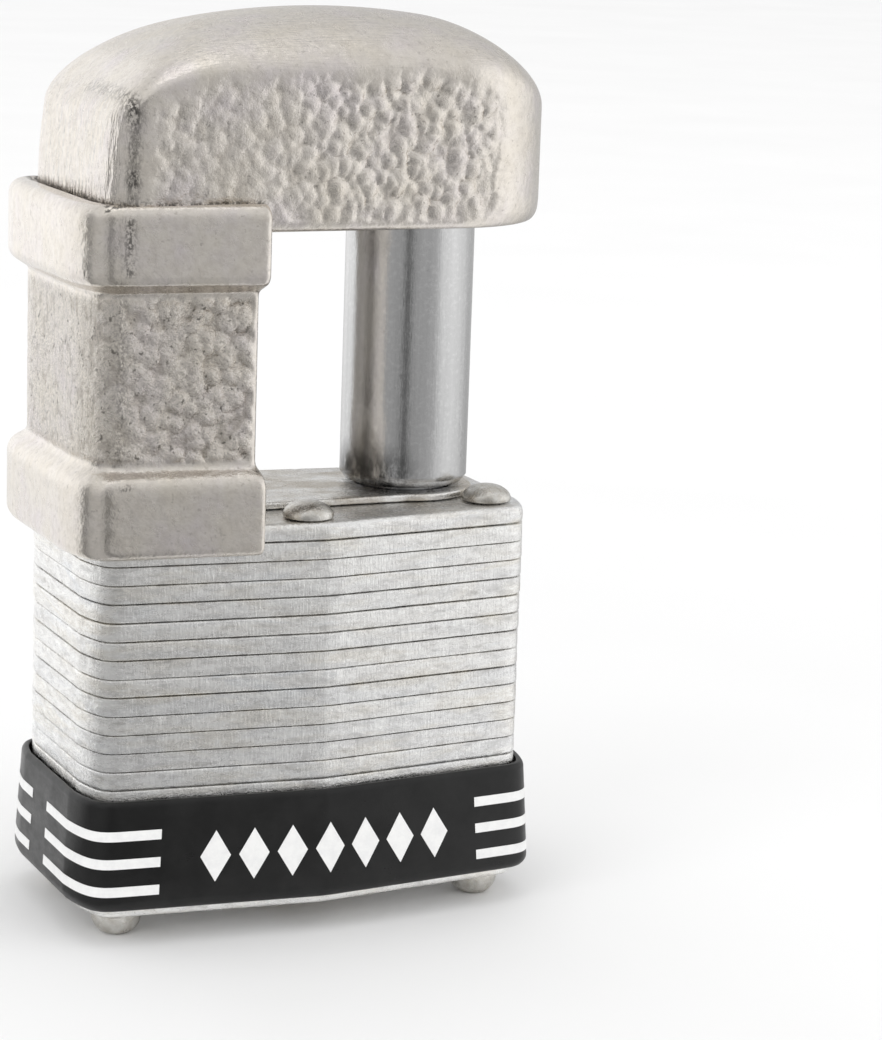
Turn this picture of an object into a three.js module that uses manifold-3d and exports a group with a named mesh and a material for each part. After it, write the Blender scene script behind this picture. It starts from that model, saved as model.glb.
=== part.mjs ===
// A shrouded laminated padlock: a stack of steel plates riveted together, a cast guard round the
// heel leg, a cast cap over the bow, a pin tumbler cylinder and two locking dogs.
// Millimetres. +X runs from the heel leg to the toe leg, +Y to the back, +Z up.
// The lock is closed with its dogs drawn in, so the shackle is free to lift.
import * as THREE from "three";
import { mergeVertices } from "three/addons/utils/BufferGeometryUtils.js";
import Module from "manifold-3d";

const wasm = await Module();
wasm.setup();

// ---- Driving dimensions ----
const HALF_WIDTH = 19.6;
const CREASE_Y = 11.5;
const CORNER = { x: 18, y: 9.7 };
const SIDE_END_Y = 5.8;

const PLATES = 21;
const PITCH = 1.55;
const PLATE = 1.48;
const FOOT = 2.1;
const TOP = FOOT + PLATES * PITCH;
const DOG_PLATE = 13;
const DOG_PLATES = 3;

const RIVET = { x: 16.3, y: 6.6, centreX: -1, centreY: 9, shank: 1.25, head: 2.15, headHigh: 1.4 };
const RIVET_HOLE = 1.5;

const BAR = 4;
const HEEL_X = -12;
const TOE_X = 11.4;
const LEG_BORE = 4.3;

// The dogs fill three plates' height; each is pulled inwards by its travel when the plug turns.
const DOG_LOW = FOOT + DOG_PLATE * PITCH + 0.2;
const DOG = {
  low: DOG_LOW, high: DOG_LOW + DOG_PLATES * PITCH - 0.45, armHigh: DOG_LOW + 1.6,
  back: 3.2, half: 3.5, room: 0.6, toeNose: 7.1, heelNose: 8.3,
};
const DOG_TRAVEL = 2;
const LIFT = 15.8;
// Cuts in the legs: a notch for each dog, a flat up the heel leg, and a neck near its end.
const NOTCH = { low: DOG.low - 0.4, high: DOG.high + 0.4, heelFloor: 1.4, flat: 3.4 };
const HEEL_NECK = { low: DOG.low - LIFT - 0.25, high: DOG.high - LIFT + 0.35, radius: 3.3 };
const HEEL_END = HEEL_NECK.low - 1.3;
const TOE_END = TOP + 0.85 - LIFT;
const DRIVE_RADIUS = 2;

const SHELL = { radius: 6.3, nose: 5.2, low: 3.75, high: 18.6, bibleX: 9.8, bibleHalf: 2.4 };
const PLUG = { radius: 3.9, high: 18.9, tenonHigh: 20.6, tenonHalf: 2.4, tenonThick: 1 };
const COVER = { x0: SHELL.bibleX - 0.6, half: 1.6 };
const CAM = { radius: 4, room: 5, post: 0.6, low: PLUG.high + 0.4, high: DOG.low - 1.2 };
const CHAMBER = { radius: 1.25, first: 5.4, pitch: 3.6, count: 4 };
// Key pins reach inwards to the cuts of the key; driver pins wait behind them in the shell.
const PIN = { radius: 1.05, keyInner: [1.3, 0.8, 1.6, 1.0], driver: [4.3, 6.3] };
const PIN_SPRING = { start: 6.4, length: 2.7, radius: 0.75, wire: 0.17, turns: 4 };
const DOG_SPRING = { start: -3, length: 6, radius: 0.85, wire: 0.22, turns: 6 };
const SHACKLE_SPRING = { radius: 3, wire: 0.15, turns: 2 };
// Running clearance round the turning parts, and how far a cutter runs past what it cuts.
const CLEAR = 0.2;
const OVER = 0.5;

const FOOT_PLATE = { thick: 0.6, half: 5.6, strip: 2.5, tail: 5.6, tailHalf: 4.9, end: 5.9 };
const SLEEVE = { radius: 5.45, bore: 4.3, low: TOP + 0.95, high: TOP + 24.9, chamfer: 0.5 };

const GUARD = {
  right: -6.1, band: 1.95, column: 0.5, wall: 1.25,
  skirtLow: TOP - 2.2, skirtHigh: TOP + 4.0, columnLow: TOP + 5.0,
  collarLow: TOP + 20.0, columnHigh: TOP + 19.0, collarHigh: TOP + 26.1, floor: 1.8,
};
const CAP = {
  left: -18.9, draft: 0.5, half: 10.8, endX: 11.3, low: TOP + 23.6, wallHigh: TOP + 36, crown: 5,
  crownX: 3, crownFall: 125, cornerX: 2.4, cornerY: 3.6,
  heelDrop: 4, heelFrom: -12.5, heelTo: -18.9, toeDrop: 3.6, toeFrom: 13.5, toeTo: 21.9,
};
const BOW_Z = TOP + 23;
// The bumper's outer face stands off the body by foot, wide, shoulder and rim, going up.
const BUMPER = {
  low: TOP - 31.7, widest: TOP - 31.1, high: TOP - 22.5, gap: 0.15,
  foot: 0.8, wide: 1.2, shoulder: 0.7, rim: 0.5,
};

// ---- Helpers ----
function solid(geometry) {
  const bare = geometry.clone();
  bare.deleteAttribute("normal");
  bare.deleteAttribute("uv");
  const merged = mergeVertices(bare, 1e-4);
  const mesh = new wasm.Mesh({
    numProp: 3,
    vertProperties: new Float32Array(merged.attributes.position.array),
    triVerts: new Uint32Array(merged.index.array),
  });
  return new wasm.Manifold(mesh);
}

function geometryOf(manifold) {
  const mesh = manifold.getMesh();
  const geometry = new THREE.BufferGeometry();
  geometry.setAttribute("position", new THREE.BufferAttribute(mesh.vertProperties, 3));
  geometry.setIndex(new THREE.BufferAttribute(mesh.triVerts, 1));
  geometry.computeVertexNormals();
  return geometry;
}

function prism(shape, low, high, curveSegments = 4) {
  const geometry = new THREE.ExtrudeGeometry(shape, {
    depth: high - low, bevelEnabled: false, curveSegments,
  });
  geometry.translate(0, 0, low);
  return geometry;
}

function box(x0, x1, y0, y1, z0, z1) {
  const geometry = new THREE.BoxGeometry(x1 - x0, y1 - y0, z1 - z0);
  geometry.translate((x0 + x1) / 2, (y0 + y1) / 2, (z0 + z1) / 2);
  return geometry;
}

// An upright cylinder about (x, y).
function post(x, y, radius, low, high, sides = 16) {
  const geometry = new THREE.CylinderGeometry(radius, radius, high - low, sides);
  geometry.rotateX(Math.PI / 2);
  geometry.translate(x, y, (low + high) / 2);
  return geometry;
}

// A cylinder along X, from x0 to x1.
function rod(x0, x1, y, z, radius, sides = 12) {
  const geometry = new THREE.CylinderGeometry(radius, radius, x1 - x0, sides);
  geometry.rotateZ(Math.PI / 2);
  geometry.translate((x0 + x1) / 2, y, z);
  return geometry;
}

// Joins rings of points, all of one length. A loop of rings closes on itself; otherwise the two
// end rings are capped.
function skin(rings, loop = false) {
  const count = rings[0].length;
  const positions = rings.flat().flatMap((point) => [point.x, point.y, point.z]);
  const index = [];
  const bands = loop ? rings.length : rings.length - 1;
  for (let ring = 0; ring < bands; ring += 1) {
    const here = ring * count;
    const next = ((ring + 1) % rings.length) * count;
    for (let i = 0; i < count; i += 1) {
      const j = (i + 1) % count;
      index.push(here + i, here + j, next + j, here + i, next + j, next + i);
    }
  }
  if (!loop) {
    const last = (rings.length - 1) * count;
    for (const [a, b, c] of THREE.ShapeUtils.triangulateShape(rings[0], [])) {
      index.push(c, b, a);
    }
    for (const [a, b, c] of THREE.ShapeUtils.triangulateShape(rings[rings.length - 1], [])) {
      index.push(last + a, last + b, last + c);
    }
  }
  const geometry = new THREE.BufferGeometry();
  geometry.setAttribute("position", new THREE.Float32BufferAttribute(positions, 3));
  geometry.setIndex(index);
  return geometry;
}

// A skin whose end rings are fans about their middles, for rings that stand upright.
function tube(rings) {
  const count = rings[0].length;
  const all = rings.flat();
  const positions = all.flatMap((point) => [point.x, point.y, point.z]);
  const index = [];
  for (let ring = 0; ring < rings.length - 1; ring += 1) {
    for (let i = 0; i < count; i += 1) {
      const j = (i + 1) % count;
      const here = ring * count;
      const next = here + count;
      index.push(here + i, here + j, next + j, here + i, next + j, next + i);
    }
  }
  const last = (rings.length - 1) * count;
  for (let i = 1; i < count - 1; i += 1) {
    index.push(0, i + 1, i);
    index.push(last, last + i, last + i + 1);
  }
  const geometry = new THREE.BufferGeometry();
  geometry.setAttribute("position", new THREE.Float32BufferAttribute(positions, 3));
  geometry.setIndex(index);
  return geometry;
}

function cut(first, ...tools) {
  let result = solid(first);
  for (const tool of tools) {
    result = result.subtract(solid(tool));
  }
  return geometryOf(result);
}

function join(first, ...others) {
  let result = solid(first);
  for (const other of others) {
    result = result.add(solid(other));
  }
  return geometryOf(result);
}

function meet(first, second) {
  return geometryOf(solid(first).intersect(solid(second)));
}

// The body's plan: two shallow facets front and back meeting in a crease, and eased corners.
// grow moves every side outwards by that much.
function bodyPlan(grow = 0) {
  const shape = new THREE.Shape();
  const width = HALF_WIDTH + grow;
  const crease = CREASE_Y + grow;
  const cornerX = CORNER.x + grow * 0.75;
  const cornerY = CORNER.y + grow;
  const easeX = width - 0.35;
  const easeY = cornerY - 1.1;
  const sideY = SIDE_END_Y + grow * 0.2;
  shape.moveTo(0, -crease);
  shape.lineTo(cornerX, -cornerY);
  shape.quadraticCurveTo(easeX, -easeY, width, -sideY);
  shape.lineTo(width, sideY);
  shape.quadraticCurveTo(easeX, easeY, cornerX, cornerY);
  shape.lineTo(0, crease);
  shape.lineTo(-cornerX, cornerY);
  shape.quadraticCurveTo(-easeX, easeY, -width, sideY);
  shape.lineTo(-width, -sideY);
  shape.quadraticCurveTo(-easeX, -easeY, -cornerX, -cornerY);
  shape.closePath();
  return shape;
}

function bodyRing(grow, z, segments = 3) {
  const points = bodyPlan(grow).getPoints(segments);
  if (points[0].equals(points[points.length - 1])) {
    points.pop();
  }
  return points.map((point) => new THREE.Vector3(point.x, point.y, z));
}

// The cap's plan: straight front and back, a half-round toe end, eased corners at the heel end.
function capRing(inset, z, draft = 0, toeSegments = 10) {
  const half = CAP.half - inset;
  const left = CAP.left + inset + draft;
  const cornerX = CAP.cornerX * (half / CAP.half);
  const cornerY = CAP.cornerY * (half / CAP.half);
  const shape = new THREE.Shape();
  const start = left + cornerX;
  const sideSteps = 8;
  shape.moveTo(start, -half);
  for (let i = 1; i <= sideSteps; i += 1) {
    shape.lineTo(start + (CAP.endX - start) * (i / sideSteps), -half);
  }
  shape.absarc(CAP.endX, 0, half, -Math.PI / 2, Math.PI / 2);
  for (let i = sideSteps; i >= 0; i -= 1) {
    shape.lineTo(start + (CAP.endX - start) * (i / sideSteps), half);
  }
  shape.quadraticCurveTo(left + 0.1 * cornerX, half - 0.15 * cornerY, left, half - cornerY);
  shape.lineTo(left, -half + cornerY);
  shape.quadraticCurveTo(left + 0.1 * cornerX, -half + 0.15 * cornerY, left + cornerX, -half);
  const points = shape.getPoints(toeSegments / 2);
  const unique = points.filter((point, i) => i === 0 || point.distanceTo(points[i - 1]) > 1e-6);
  if (unique[0].distanceTo(unique[unique.length - 1]) < 1e-6) {
    unique.pop();
  }
  return unique.map((point) => new THREE.Vector3(point.x, point.y, z));
}

// A coil of round wire about an axis through origin, along Z before it is placed.
function coil(radius, wire, turns, length, steps = 10, sides = 5) {
  const rise = (length - 2 * wire) / turns;
  const points = [];
  for (let i = 0; i <= turns * steps; i += 1) {
    const angle = (i / steps) * 2 * Math.PI;
    const z = wire + (i / steps) * rise;
    points.push(new THREE.Vector3(radius * Math.cos(angle), radius * Math.sin(angle), z));
  }
  const path = new THREE.CatmullRomCurve3(points);
  const section = new THREE.Shape();
  for (let i = 0; i < sides; i += 1) {
    const angle = (i / sides) * 2 * Math.PI;
    const x = wire * Math.cos(angle);
    const y = wire * Math.sin(angle);
    if (i === 0) {
      section.moveTo(x, y);
    } else {
      section.lineTo(x, y);
    }
  }
  section.closePath();
  return new THREE.ExtrudeGeometry(section, { steps: points.length - 1, extrudePath: path });
}

// ---- Materials ----
const material = (color, roughness, metalness) => (
  new THREE.MeshStandardMaterial({ color, roughness, metalness })
);
const ZINC = material(0xc9cdcf, 0.38, 1);
const RIVET_STEEL = material(0xb9bcbd, 0.35, 1);
const CAST_NICKEL = material(0xc8c3ba, 0.32, 1);
const HARD_STEEL = material(0x9a9c9f, 0.16, 1);
const BUMPER_BLACK = material(0x202021, 0.35, 0);
const BRASS = material(0xb99450, 0.3, 1);
const SPRING_STEEL = material(0x8c8c8c, 0.3, 1);
const SINTERED = material(0x7c7c7e, 0.5, 1);

const padlock = new THREE.Group();

function place(name, geometry, finish) {
  const mesh = new THREE.Mesh(geometry, finish);
  mesh.name = name;
  padlock.add(mesh);
  return mesh;
}

// ---- Plates ----
const rivetPlaces = [];
for (const x of [-1, 1]) {
  for (const y of [-1, 1]) {
    rivetPlaces.push({ x: x * RIVET.x, y: y * RIVET.y });
  }
}
const centrePlaces = [-1, 1].map((y) => ({ x: RIVET.centreX, y: y * RIVET.centreY }));

function circlePath(x, y, radius, sides) {
  const path = new THREE.Path();
  for (let i = 0; i < sides; i += 1) {
    const angle = (-(i + 0.5) / sides) * 2 * Math.PI;
    const px = x + radius * Math.cos(angle);
    const py = y + radius * Math.sin(angle);
    if (i === 0) {
      path.moveTo(px, py);
    } else {
      path.lineTo(px, py);
    }
  }
  path.closePath();
  return path;
}

// The cutters for what passes through one plate; number 0 is the bottom plate.
function plateTools(number, low, high) {
  const tools = [];
  const z0 = low - OVER;
  const z1 = high + OVER;
  if (number === 0) {
    tools.push(post(0, 0, SHELL.nose + CLEAR, z0, z1, 20));
    return tools;
  }
  tools.push(post(HEEL_X, 0, LEG_BORE, z0, z1, 14));
  if (low < SHELL.high) {
    tools.push(post(0, 0, SHELL.radius + CLEAR, z0, z1, 18));
    const half = SHELL.bibleHalf + CLEAR;
    tools.push(box(0, SHELL.bibleX + CLEAR, -half, half, z0, z1));
  } else if (low < DOG.low - OVER) {
    tools.push(post(0, 0, CAM.room, z0, z1, 16));
  } else if (low < DOG.high) {
    const half = DOG.half + DOG.room;
    tools.push(box(HEEL_X, TOE_X, -half, half, z0, z1));
  }
  if (high > TOE_END) {
    tools.push(post(TOE_X, 0, LEG_BORE, z0, z1, 14));
  }
  return tools;
}

for (let i = 0; i < PLATES; i += 1) {
  const low = FOOT + i * PITCH;
  const high = low + PLATE;
  const outline = bodyPlan(0);
  for (const spot of [...rivetPlaces, ...centrePlaces]) {
    outline.holes.push(circlePath(spot.x, spot.y, RIVET_HOLE, 6));
  }
  const blank = prism(outline, low, high, 3);
  place(`plate_${String(i + 1).padStart(2, "0")}`, cut(blank, ...plateTools(i, low, high)), ZINC);
}

// ---- Rivets ----
// Corner rivets carry the stack; the pair on the heel side also clamps the guard's floor.
function rivet(x, y, low, high, footHigh) {
  const r = RIVET.head;
  const h = RIVET.headHigh;
  const points = [new THREE.Vector2(0, low)];
  if (footHigh > 0) {
    points.push(new THREE.Vector2(r * 0.42, low));
    points.push(new THREE.Vector2(r * 0.82, low + footHigh * 0.35));
    points.push(new THREE.Vector2(r, low + footHigh * 0.8));
    points.push(new THREE.Vector2(r, low + footHigh - 0.05));
    points.push(new THREE.Vector2(RIVET.shank, low + footHigh - 0.05));
  } else {
    points.push(new THREE.Vector2(RIVET.shank, low));
  }
  points.push(new THREE.Vector2(RIVET.shank, high));
  points.push(new THREE.Vector2(r, high));
  points.push(new THREE.Vector2(r * 0.93, high + h * 0.4));
  points.push(new THREE.Vector2(r * 0.6, high + h * 0.85));
  points.push(new THREE.Vector2(0, high + h));
  const geometry = new THREE.LatheGeometry(points, 12);
  geometry.rotateX(Math.PI / 2);
  geometry.translate(x, y, 0);
  return geometry;
}

const rivetNames = ["rivet_left_front", "rivet_left_back", "rivet_right_front", "rivet_right_back"];
rivetPlaces.forEach((spot, i) => {
  const seat = spot.x < 0 ? TOP + GUARD.floor + 0.05 : TOP;
  place(rivetNames[i], cut(rivet(spot.x, spot.y, 0, seat, FOOT)), RIVET_STEEL);
});
const centreNames = ["rivet_centre_front", "rivet_centre_back"];
centrePlaces.forEach((spot, i) => {
  place(centreNames[i], cut(rivet(spot.x, spot.y, FOOT + 0.1, TOP, 0)), RIVET_STEEL);
});

// ---- Bumper ----
const bumperRings = [
  bodyRing(BUMPER.gap, BUMPER.low),
  bodyRing(BUMPER.foot, BUMPER.low),
  bodyRing(BUMPER.wide, BUMPER.widest),
  bodyRing(BUMPER.shoulder, BUMPER.high - 0.3),
  bodyRing(BUMPER.rim, BUMPER.high),
  bodyRing(BUMPER.gap, BUMPER.high),
];
place("bumper", cut(skin(bumperRings, true)), BUMPER_BLACK);

// ---- Guard ----
function bandRings(profile) {
  return skin(profile.map(([grow, z]) => bodyRing(grow, z)));
}

function guard() {
  const outer = bandRings([
    [GUARD.band - 0.4, GUARD.skirtLow],
    [GUARD.band, GUARD.skirtLow + 0.5],
    [GUARD.band, GUARD.skirtHigh],
    [GUARD.column, GUARD.columnLow],
    [GUARD.column, GUARD.columnHigh],
    [GUARD.band - 0.3, GUARD.collarLow - 0.3],
    [GUARD.band, GUARD.collarLow + 0.3],
    [GUARD.band, GUARD.collarHigh - 0.6],
    [GUARD.band - 0.7, GUARD.collarHigh],
  ]);
  const keep = box(-30, GUARD.right, -20, 20, 0, 80);
  const bodyPocket = prism(bodyPlan(0.3), GUARD.skirtLow - 1, TOP + 0.02, 3);
  const slot = FOOT_PLATE.half + 0.3;
  const footSlot = box(-18.3, 0, -slot, slot, TOP - 1, TOP + FOOT_PLATE.thick + 0.3);
  const hollowPlan = prism(bodyPlan(GUARD.column - GUARD.wall), TOP + GUARD.floor, CAP.low, 3);
  const hollowKeep = box(-30, GUARD.right - 1.3, -20, 20, 0, 80);
  const mouth = skin([capRing(-0.4, CAP.low - 0.3, 0, 6), capRing(-0.4, CAP.low + 5, 0, 6)]);
  const holes = rivetPlaces.filter((spot) => spot.x < 0)
    .map((spot) => post(spot.x, spot.y, RIVET_HOLE, TOP - 1, TOP + 4, 8));
  return cut(
    meet(outer, keep),
    bodyPocket,
    footSlot,
    meet(hollowPlan, hollowKeep),
    mouth,
    post(HEEL_X, 0, LEG_BORE, TOP - 1, TOP + 4, 16),
    ...holes,
  );
}
place("guard", guard(), CAST_NICKEL);

// The foot plate lies on the top plate and is threaded on both legs.
function footPlate() {
  const { thick, half, strip: stripEnd, tail: tailEnd, tailHalf, end } = FOOT_PLATE;
  const low = TOP;
  const strip = box(HEEL_X - stripEnd, TOE_X, -half, half, low, low + thick);
  const tail = box(HEEL_X - tailEnd, TOE_X, -tailHalf, tailHalf, low, low + thick);
  const round = post(TOE_X, 0, end, low, low + thick, 24);
  return cut(
    join(strip, tail, round),
    post(HEEL_X, 0, LEG_BORE, low - 1, low + 2, 16),
    post(TOE_X, 0, LEG_BORE, low - 1, low + 2, 16),
  );
}
place("guard_foot_plate", footPlate(), ZINC);

// ---- Cap ----
// How far the top of the cap's wall lies lower towards its two ends.
function shoulderDrop(x) {
  const { smoothstep } = THREE.MathUtils;
  const heel = CAP.heelDrop * smoothstep(-x, -CAP.heelFrom, -CAP.heelTo);
  return heel + CAP.toeDrop * smoothstep(x, CAP.toeFrom, CAP.toeTo);
}

function cap() {
  const rings = [
    capRing(0.7, CAP.low),
    capRing(0.1, CAP.low + 0.6),
    capRing(0, CAP.low + 1.6),
  ];
  const wall = capRing(0, 0, CAP.draft);
  for (const inset of [0, 0.5, 1.6, 3.4, 6, 9, 10.4]) {
    const rise = Math.sqrt(1 - (1 - inset / CAP.half) ** 2);
    const ring = capRing(inset, 0, CAP.draft);
    ring.forEach((point, i) => {
      const drop = shoulderDrop(wall[i].x);
      const fall = (point.x - CAP.crownX) ** 2 / CAP.crownFall;
      point.z = CAP.wallHigh - drop + (CAP.crown - fall + drop) * rise;
    });
    rings.push(ring);
  }
  const centre = (HEEL_X + TOE_X) / 2;
  const reach = (TOE_X - HEEL_X) / 2 + BAR + 0.35;
  const arch = new THREE.Shape();
  arch.moveTo(-reach, -3);
  arch.lineTo(reach, -3);
  arch.lineTo(reach, 0);
  arch.absarc(0, 0, reach, 0, Math.PI);
  arch.closePath();
  const channel = prism(arch, -LEG_BORE, LEG_BORE, 12);
  channel.rotateX(Math.PI / 2);
  channel.translate(centre, 0, BOW_Z);
  const socket = post(TOE_X, 0, SLEEVE.radius + 0.3, CAP.low - 1, SLEEVE.high + 0.3, 20);
  return cut(skin(rings), channel, socket);
}
place("shackle_cap", cap(), CAST_NICKEL);

// ---- Shackle ----
function shackle() {
  const centre = (HEEL_X + TOE_X) / 2;
  const bend = (TOE_X - HEEL_X) / 2;
  const corners = [];
  corners.push(new THREE.Vector3(HEEL_X, 0, HEEL_END));
  corners.push(new THREE.Vector3(HEEL_X, 0, BOW_Z));
  const bowSteps = 12;
  for (let i = 1; i < bowSteps; i += 1) {
    const angle = Math.PI - (i / bowSteps) * Math.PI;
    const x = centre + bend * Math.cos(angle);
    corners.push(new THREE.Vector3(x, 0, BOW_Z + bend * Math.sin(angle)));
  }
  corners.push(new THREE.Vector3(TOE_X, 0, BOW_Z));
  corners.push(new THREE.Vector3(TOE_X, 0, TOE_END));
  const sides = 14;
  const rings = corners.map((point, i) => {
    const before = corners[Math.max(i - 1, 0)];
    const after = corners[Math.min(i + 1, corners.length - 1)];
    const along = after.clone().sub(before).normalize();
    const out = new THREE.Vector3(-along.z, 0, along.x);
    const ring = [];
    for (let k = 0; k < sides; k += 1) {
      const angle = (-(k + 0.5) / sides) * 2 * Math.PI;
      ring.push(new THREE.Vector3(
        point.x + BAR * Math.cos(angle) * out.x,
        BAR * Math.sin(angle),
        point.z + BAR * Math.cos(angle) * out.z,
      ));
    }
    return ring;
  });
  const floorX = HEEL_X + NOTCH.heelFloor;
  const flatX = HEEL_X + NOTCH.flat;
  const far = HEEL_X + BAR + 2;
  const neckOuter = post(HEEL_X, 0, BAR + 1, HEEL_NECK.low, HEEL_NECK.high, 14);
  const neck = cut(neckOuter, post(HEEL_X, 0, HEEL_NECK.radius, 0, 20, 14));
  return cut(
    tube(rings),
    box(floorX, far, -6, 6, NOTCH.low, NOTCH.high),
    box(flatX, far, -6, 6, HEEL_NECK.high - 0.1, NOTCH.low + 0.1),
    box(floorX, far, -6, 6, HEEL_NECK.low, HEEL_NECK.high),
    neck,
    box(TOE_X - 6, TOE_X - BAR + DOG_TRAVEL, -6, 6, NOTCH.low, NOTCH.high),
  );
}

place("shackle", shackle(), HARD_STEEL);

function sleeve() {
  const { radius, bore, low, high } = SLEEVE;
  const profile = [
    new THREE.Vector2(bore, low),
    new THREE.Vector2(radius - SLEEVE.chamfer, low),
    new THREE.Vector2(radius, low + SLEEVE.chamfer),
    new THREE.Vector2(radius, high),
    new THREE.Vector2(bore, high),
    new THREE.Vector2(bore, low),
  ];
  const geometry = new THREE.LatheGeometry(profile, 28);
  geometry.rotateX(Math.PI / 2);
  geometry.translate(TOE_X, 0, 0);
  return geometry;
}
place("toe_sleeve", cut(sleeve()), HARD_STEEL);

// ---- Cylinder ----
const chamberHeights = [];
for (let i = 0; i < CHAMBER.count; i += 1) {
  chamberHeights.push(CHAMBER.first + i * CHAMBER.pitch);
}
function cylinderShell() {
  const { radius, nose, low, high, bibleX, bibleHalf } = SHELL;
  const chambers = chamberHeights.map((z) => rod(0, bibleX + 1, 0, z, CHAMBER.radius, 8));
  return cut(
    join(
      post(0, 0, radius, low, high, 18),
      post(0, 0, nose, FOOT + 0.1, low + 0.5, 18),
      box(0, bibleX, -bibleHalf, bibleHalf, low, high),
    ),
    post(0, 0, PLUG.radius + CLEAR, 0, high + 1, 18),
    box(COVER.x0, bibleX + 1, -COVER.half, COVER.half, low + 0.4, high + 1),
    ...chambers,
  );
}
place("cylinder_shell", cylinderShell(), BRASS);

place("chamber_cover", box(
  COVER.x0 + 0.1, SHELL.bibleX, -COVER.half + 0.1, COVER.half - 0.1, SHELL.low + 0.5, SHELL.high,
), BRASS);

// At rest the plug's pin row points to +Y; a quarter turn brings it under the chambers at +X.
const quarterTurn = (geometry) => geometry.rotateZ(Math.PI / 2);

function plug() {
  const { tenonHalf, tenonThick } = PLUG;
  const body = post(0, 0, PLUG.radius, FOOT + CLEAR, PLUG.high, 18);
  const tenon = box(
    -tenonHalf, tenonHalf, -tenonThick, tenonThick, PLUG.high - OVER, PLUG.tenonHigh,
  );
  const keyway = new THREE.Shape();
  keyway.moveTo(-3.0, -0.55);
  keyway.lineTo(-0.9, -0.55);
  keyway.lineTo(-0.9, -1.0);
  keyway.lineTo(0.4, -1.0);
  keyway.lineTo(0.4, -0.45);
  keyway.lineTo(2.3, -0.45);
  keyway.lineTo(2.3, 0.8);
  keyway.lineTo(0.9, 0.8);
  keyway.lineTo(0.9, 0.35);
  keyway.lineTo(-1.6, 0.35);
  keyway.lineTo(-1.6, 0.9);
  keyway.lineTo(-3.0, 0.9);
  keyway.closePath();
  const chambers = chamberHeights.map((z) => rod(0.5, 5, 0, z, CHAMBER.radius, 8));
  return quarterTurn(cut(
    join(body, tenon),
    prism(keyway, 0, PLUG.high - 1.2),
    ...chambers,
  ));
}
place("plug", plug(), BRASS);

function wound(spring, length, steps = 8, sides = 4) {
  return coil(spring.radius, spring.wire, spring.turns, length, steps, sides);
}

chamberHeights.forEach((z, i) => {
  const number = i + 1;
  const keyPin = rod(PIN.keyInner[i], PLUG.radius - 0.25, 0, z, PIN.radius, 8);
  place(`key_pin_${number}`, quarterTurn(keyPin), BRASS);
  const [inner, outer] = PIN.driver;
  place(`driver_pin_${number}`, rod(inner, outer, 0, z, PIN.radius, 8), BRASS);
  const spring = wound(PIN_SPRING, PIN_SPRING.length);
  spring.rotateY(Math.PI / 2);
  spring.translate(PIN_SPRING.start, 0, z);
  place(`pin_spring_${number}`, cut(spring), SPRING_STEEL);
});

// The cam sits on the plug's tenon and drives one dog with each of its two posts.
function cam() {
  const disc = post(0, 0, CAM.radius, CAM.low, CAM.high, 18);
  const posts = [-1, 1].map((side) => (
    post(0, side * DRIVE_RADIUS, CAM.post, CAM.high - 0.3, DOG.armHigh - CLEAR, 8)
  ));
  const slotX = PLUG.tenonThick + 0.15;
  const slotY = PLUG.tenonHalf + CLEAR;
  const slot = box(-slotX, slotX, -slotY, slotY, 0, PLUG.tenonHigh + CLEAR);
  return cut(join(disc, ...posts), slot);
}
place("cam", cam(), SINTERED);

// ---- Locking dogs ----
// Each dog is a block with a hooked arm that a cam post pulls inwards.
function dog(nose) {
  const { low, high, armHigh, half } = DOG;
  const block = box(DOG.back, nose, -half, half, low, high);
  const hook = new THREE.Shape();
  hook.moveTo(-2.6, 0.4);
  hook.lineTo(-1.2, 0.4);
  hook.lineTo(-1.2, 2.8);
  hook.lineTo(3.4, 2.8);
  hook.lineTo(3.4, half);
  hook.lineTo(-2.6, half);
  hook.closePath();
  return join(block, prism(hook, low, armHigh));
}
place("locking_dog_toe", dog(DOG.toeNose), SINTERED);
const heelDog = dog(DOG.heelNose);
heelDog.rotateZ(Math.PI);
place("locking_dog_heel", heelDog, SINTERED);

const dogSpring = wound(DOG_SPRING, DOG_SPRING.length);
dogSpring.rotateY(Math.PI / 2);
dogSpring.translate(DOG_SPRING.start, 0, (DOG.armHigh + DOG.high) / 2);
place("dog_spring", cut(dogSpring), SPRING_STEEL);

// The shackle spring lies pressed flat between the second plate's floor and the heel leg's end.
const springFloor = FOOT + PITCH + 0.1;
const shackleSpring = wound(SHACKLE_SPRING, HEEL_END - springFloor - CLEAR, 12, 5);
shackleSpring.translate(HEEL_X, 0, springFloor);
place("shackle_spring", cut(shackleSpring), SPRING_STEEL);

// ---- Origin: the middle of the whole lock's box, on the plane of the rivet heads ----
const bounds = new THREE.Box3().setFromObject(padlock);
const middle = bounds.getCenter(new THREE.Vector3());
padlock.position.set(-middle.x, -middle.y, 0);

export default padlock;
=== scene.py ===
import math
import random

import bmesh
import bpy
import numpy as np
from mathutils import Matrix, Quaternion, Vector, geometry, noise


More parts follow.
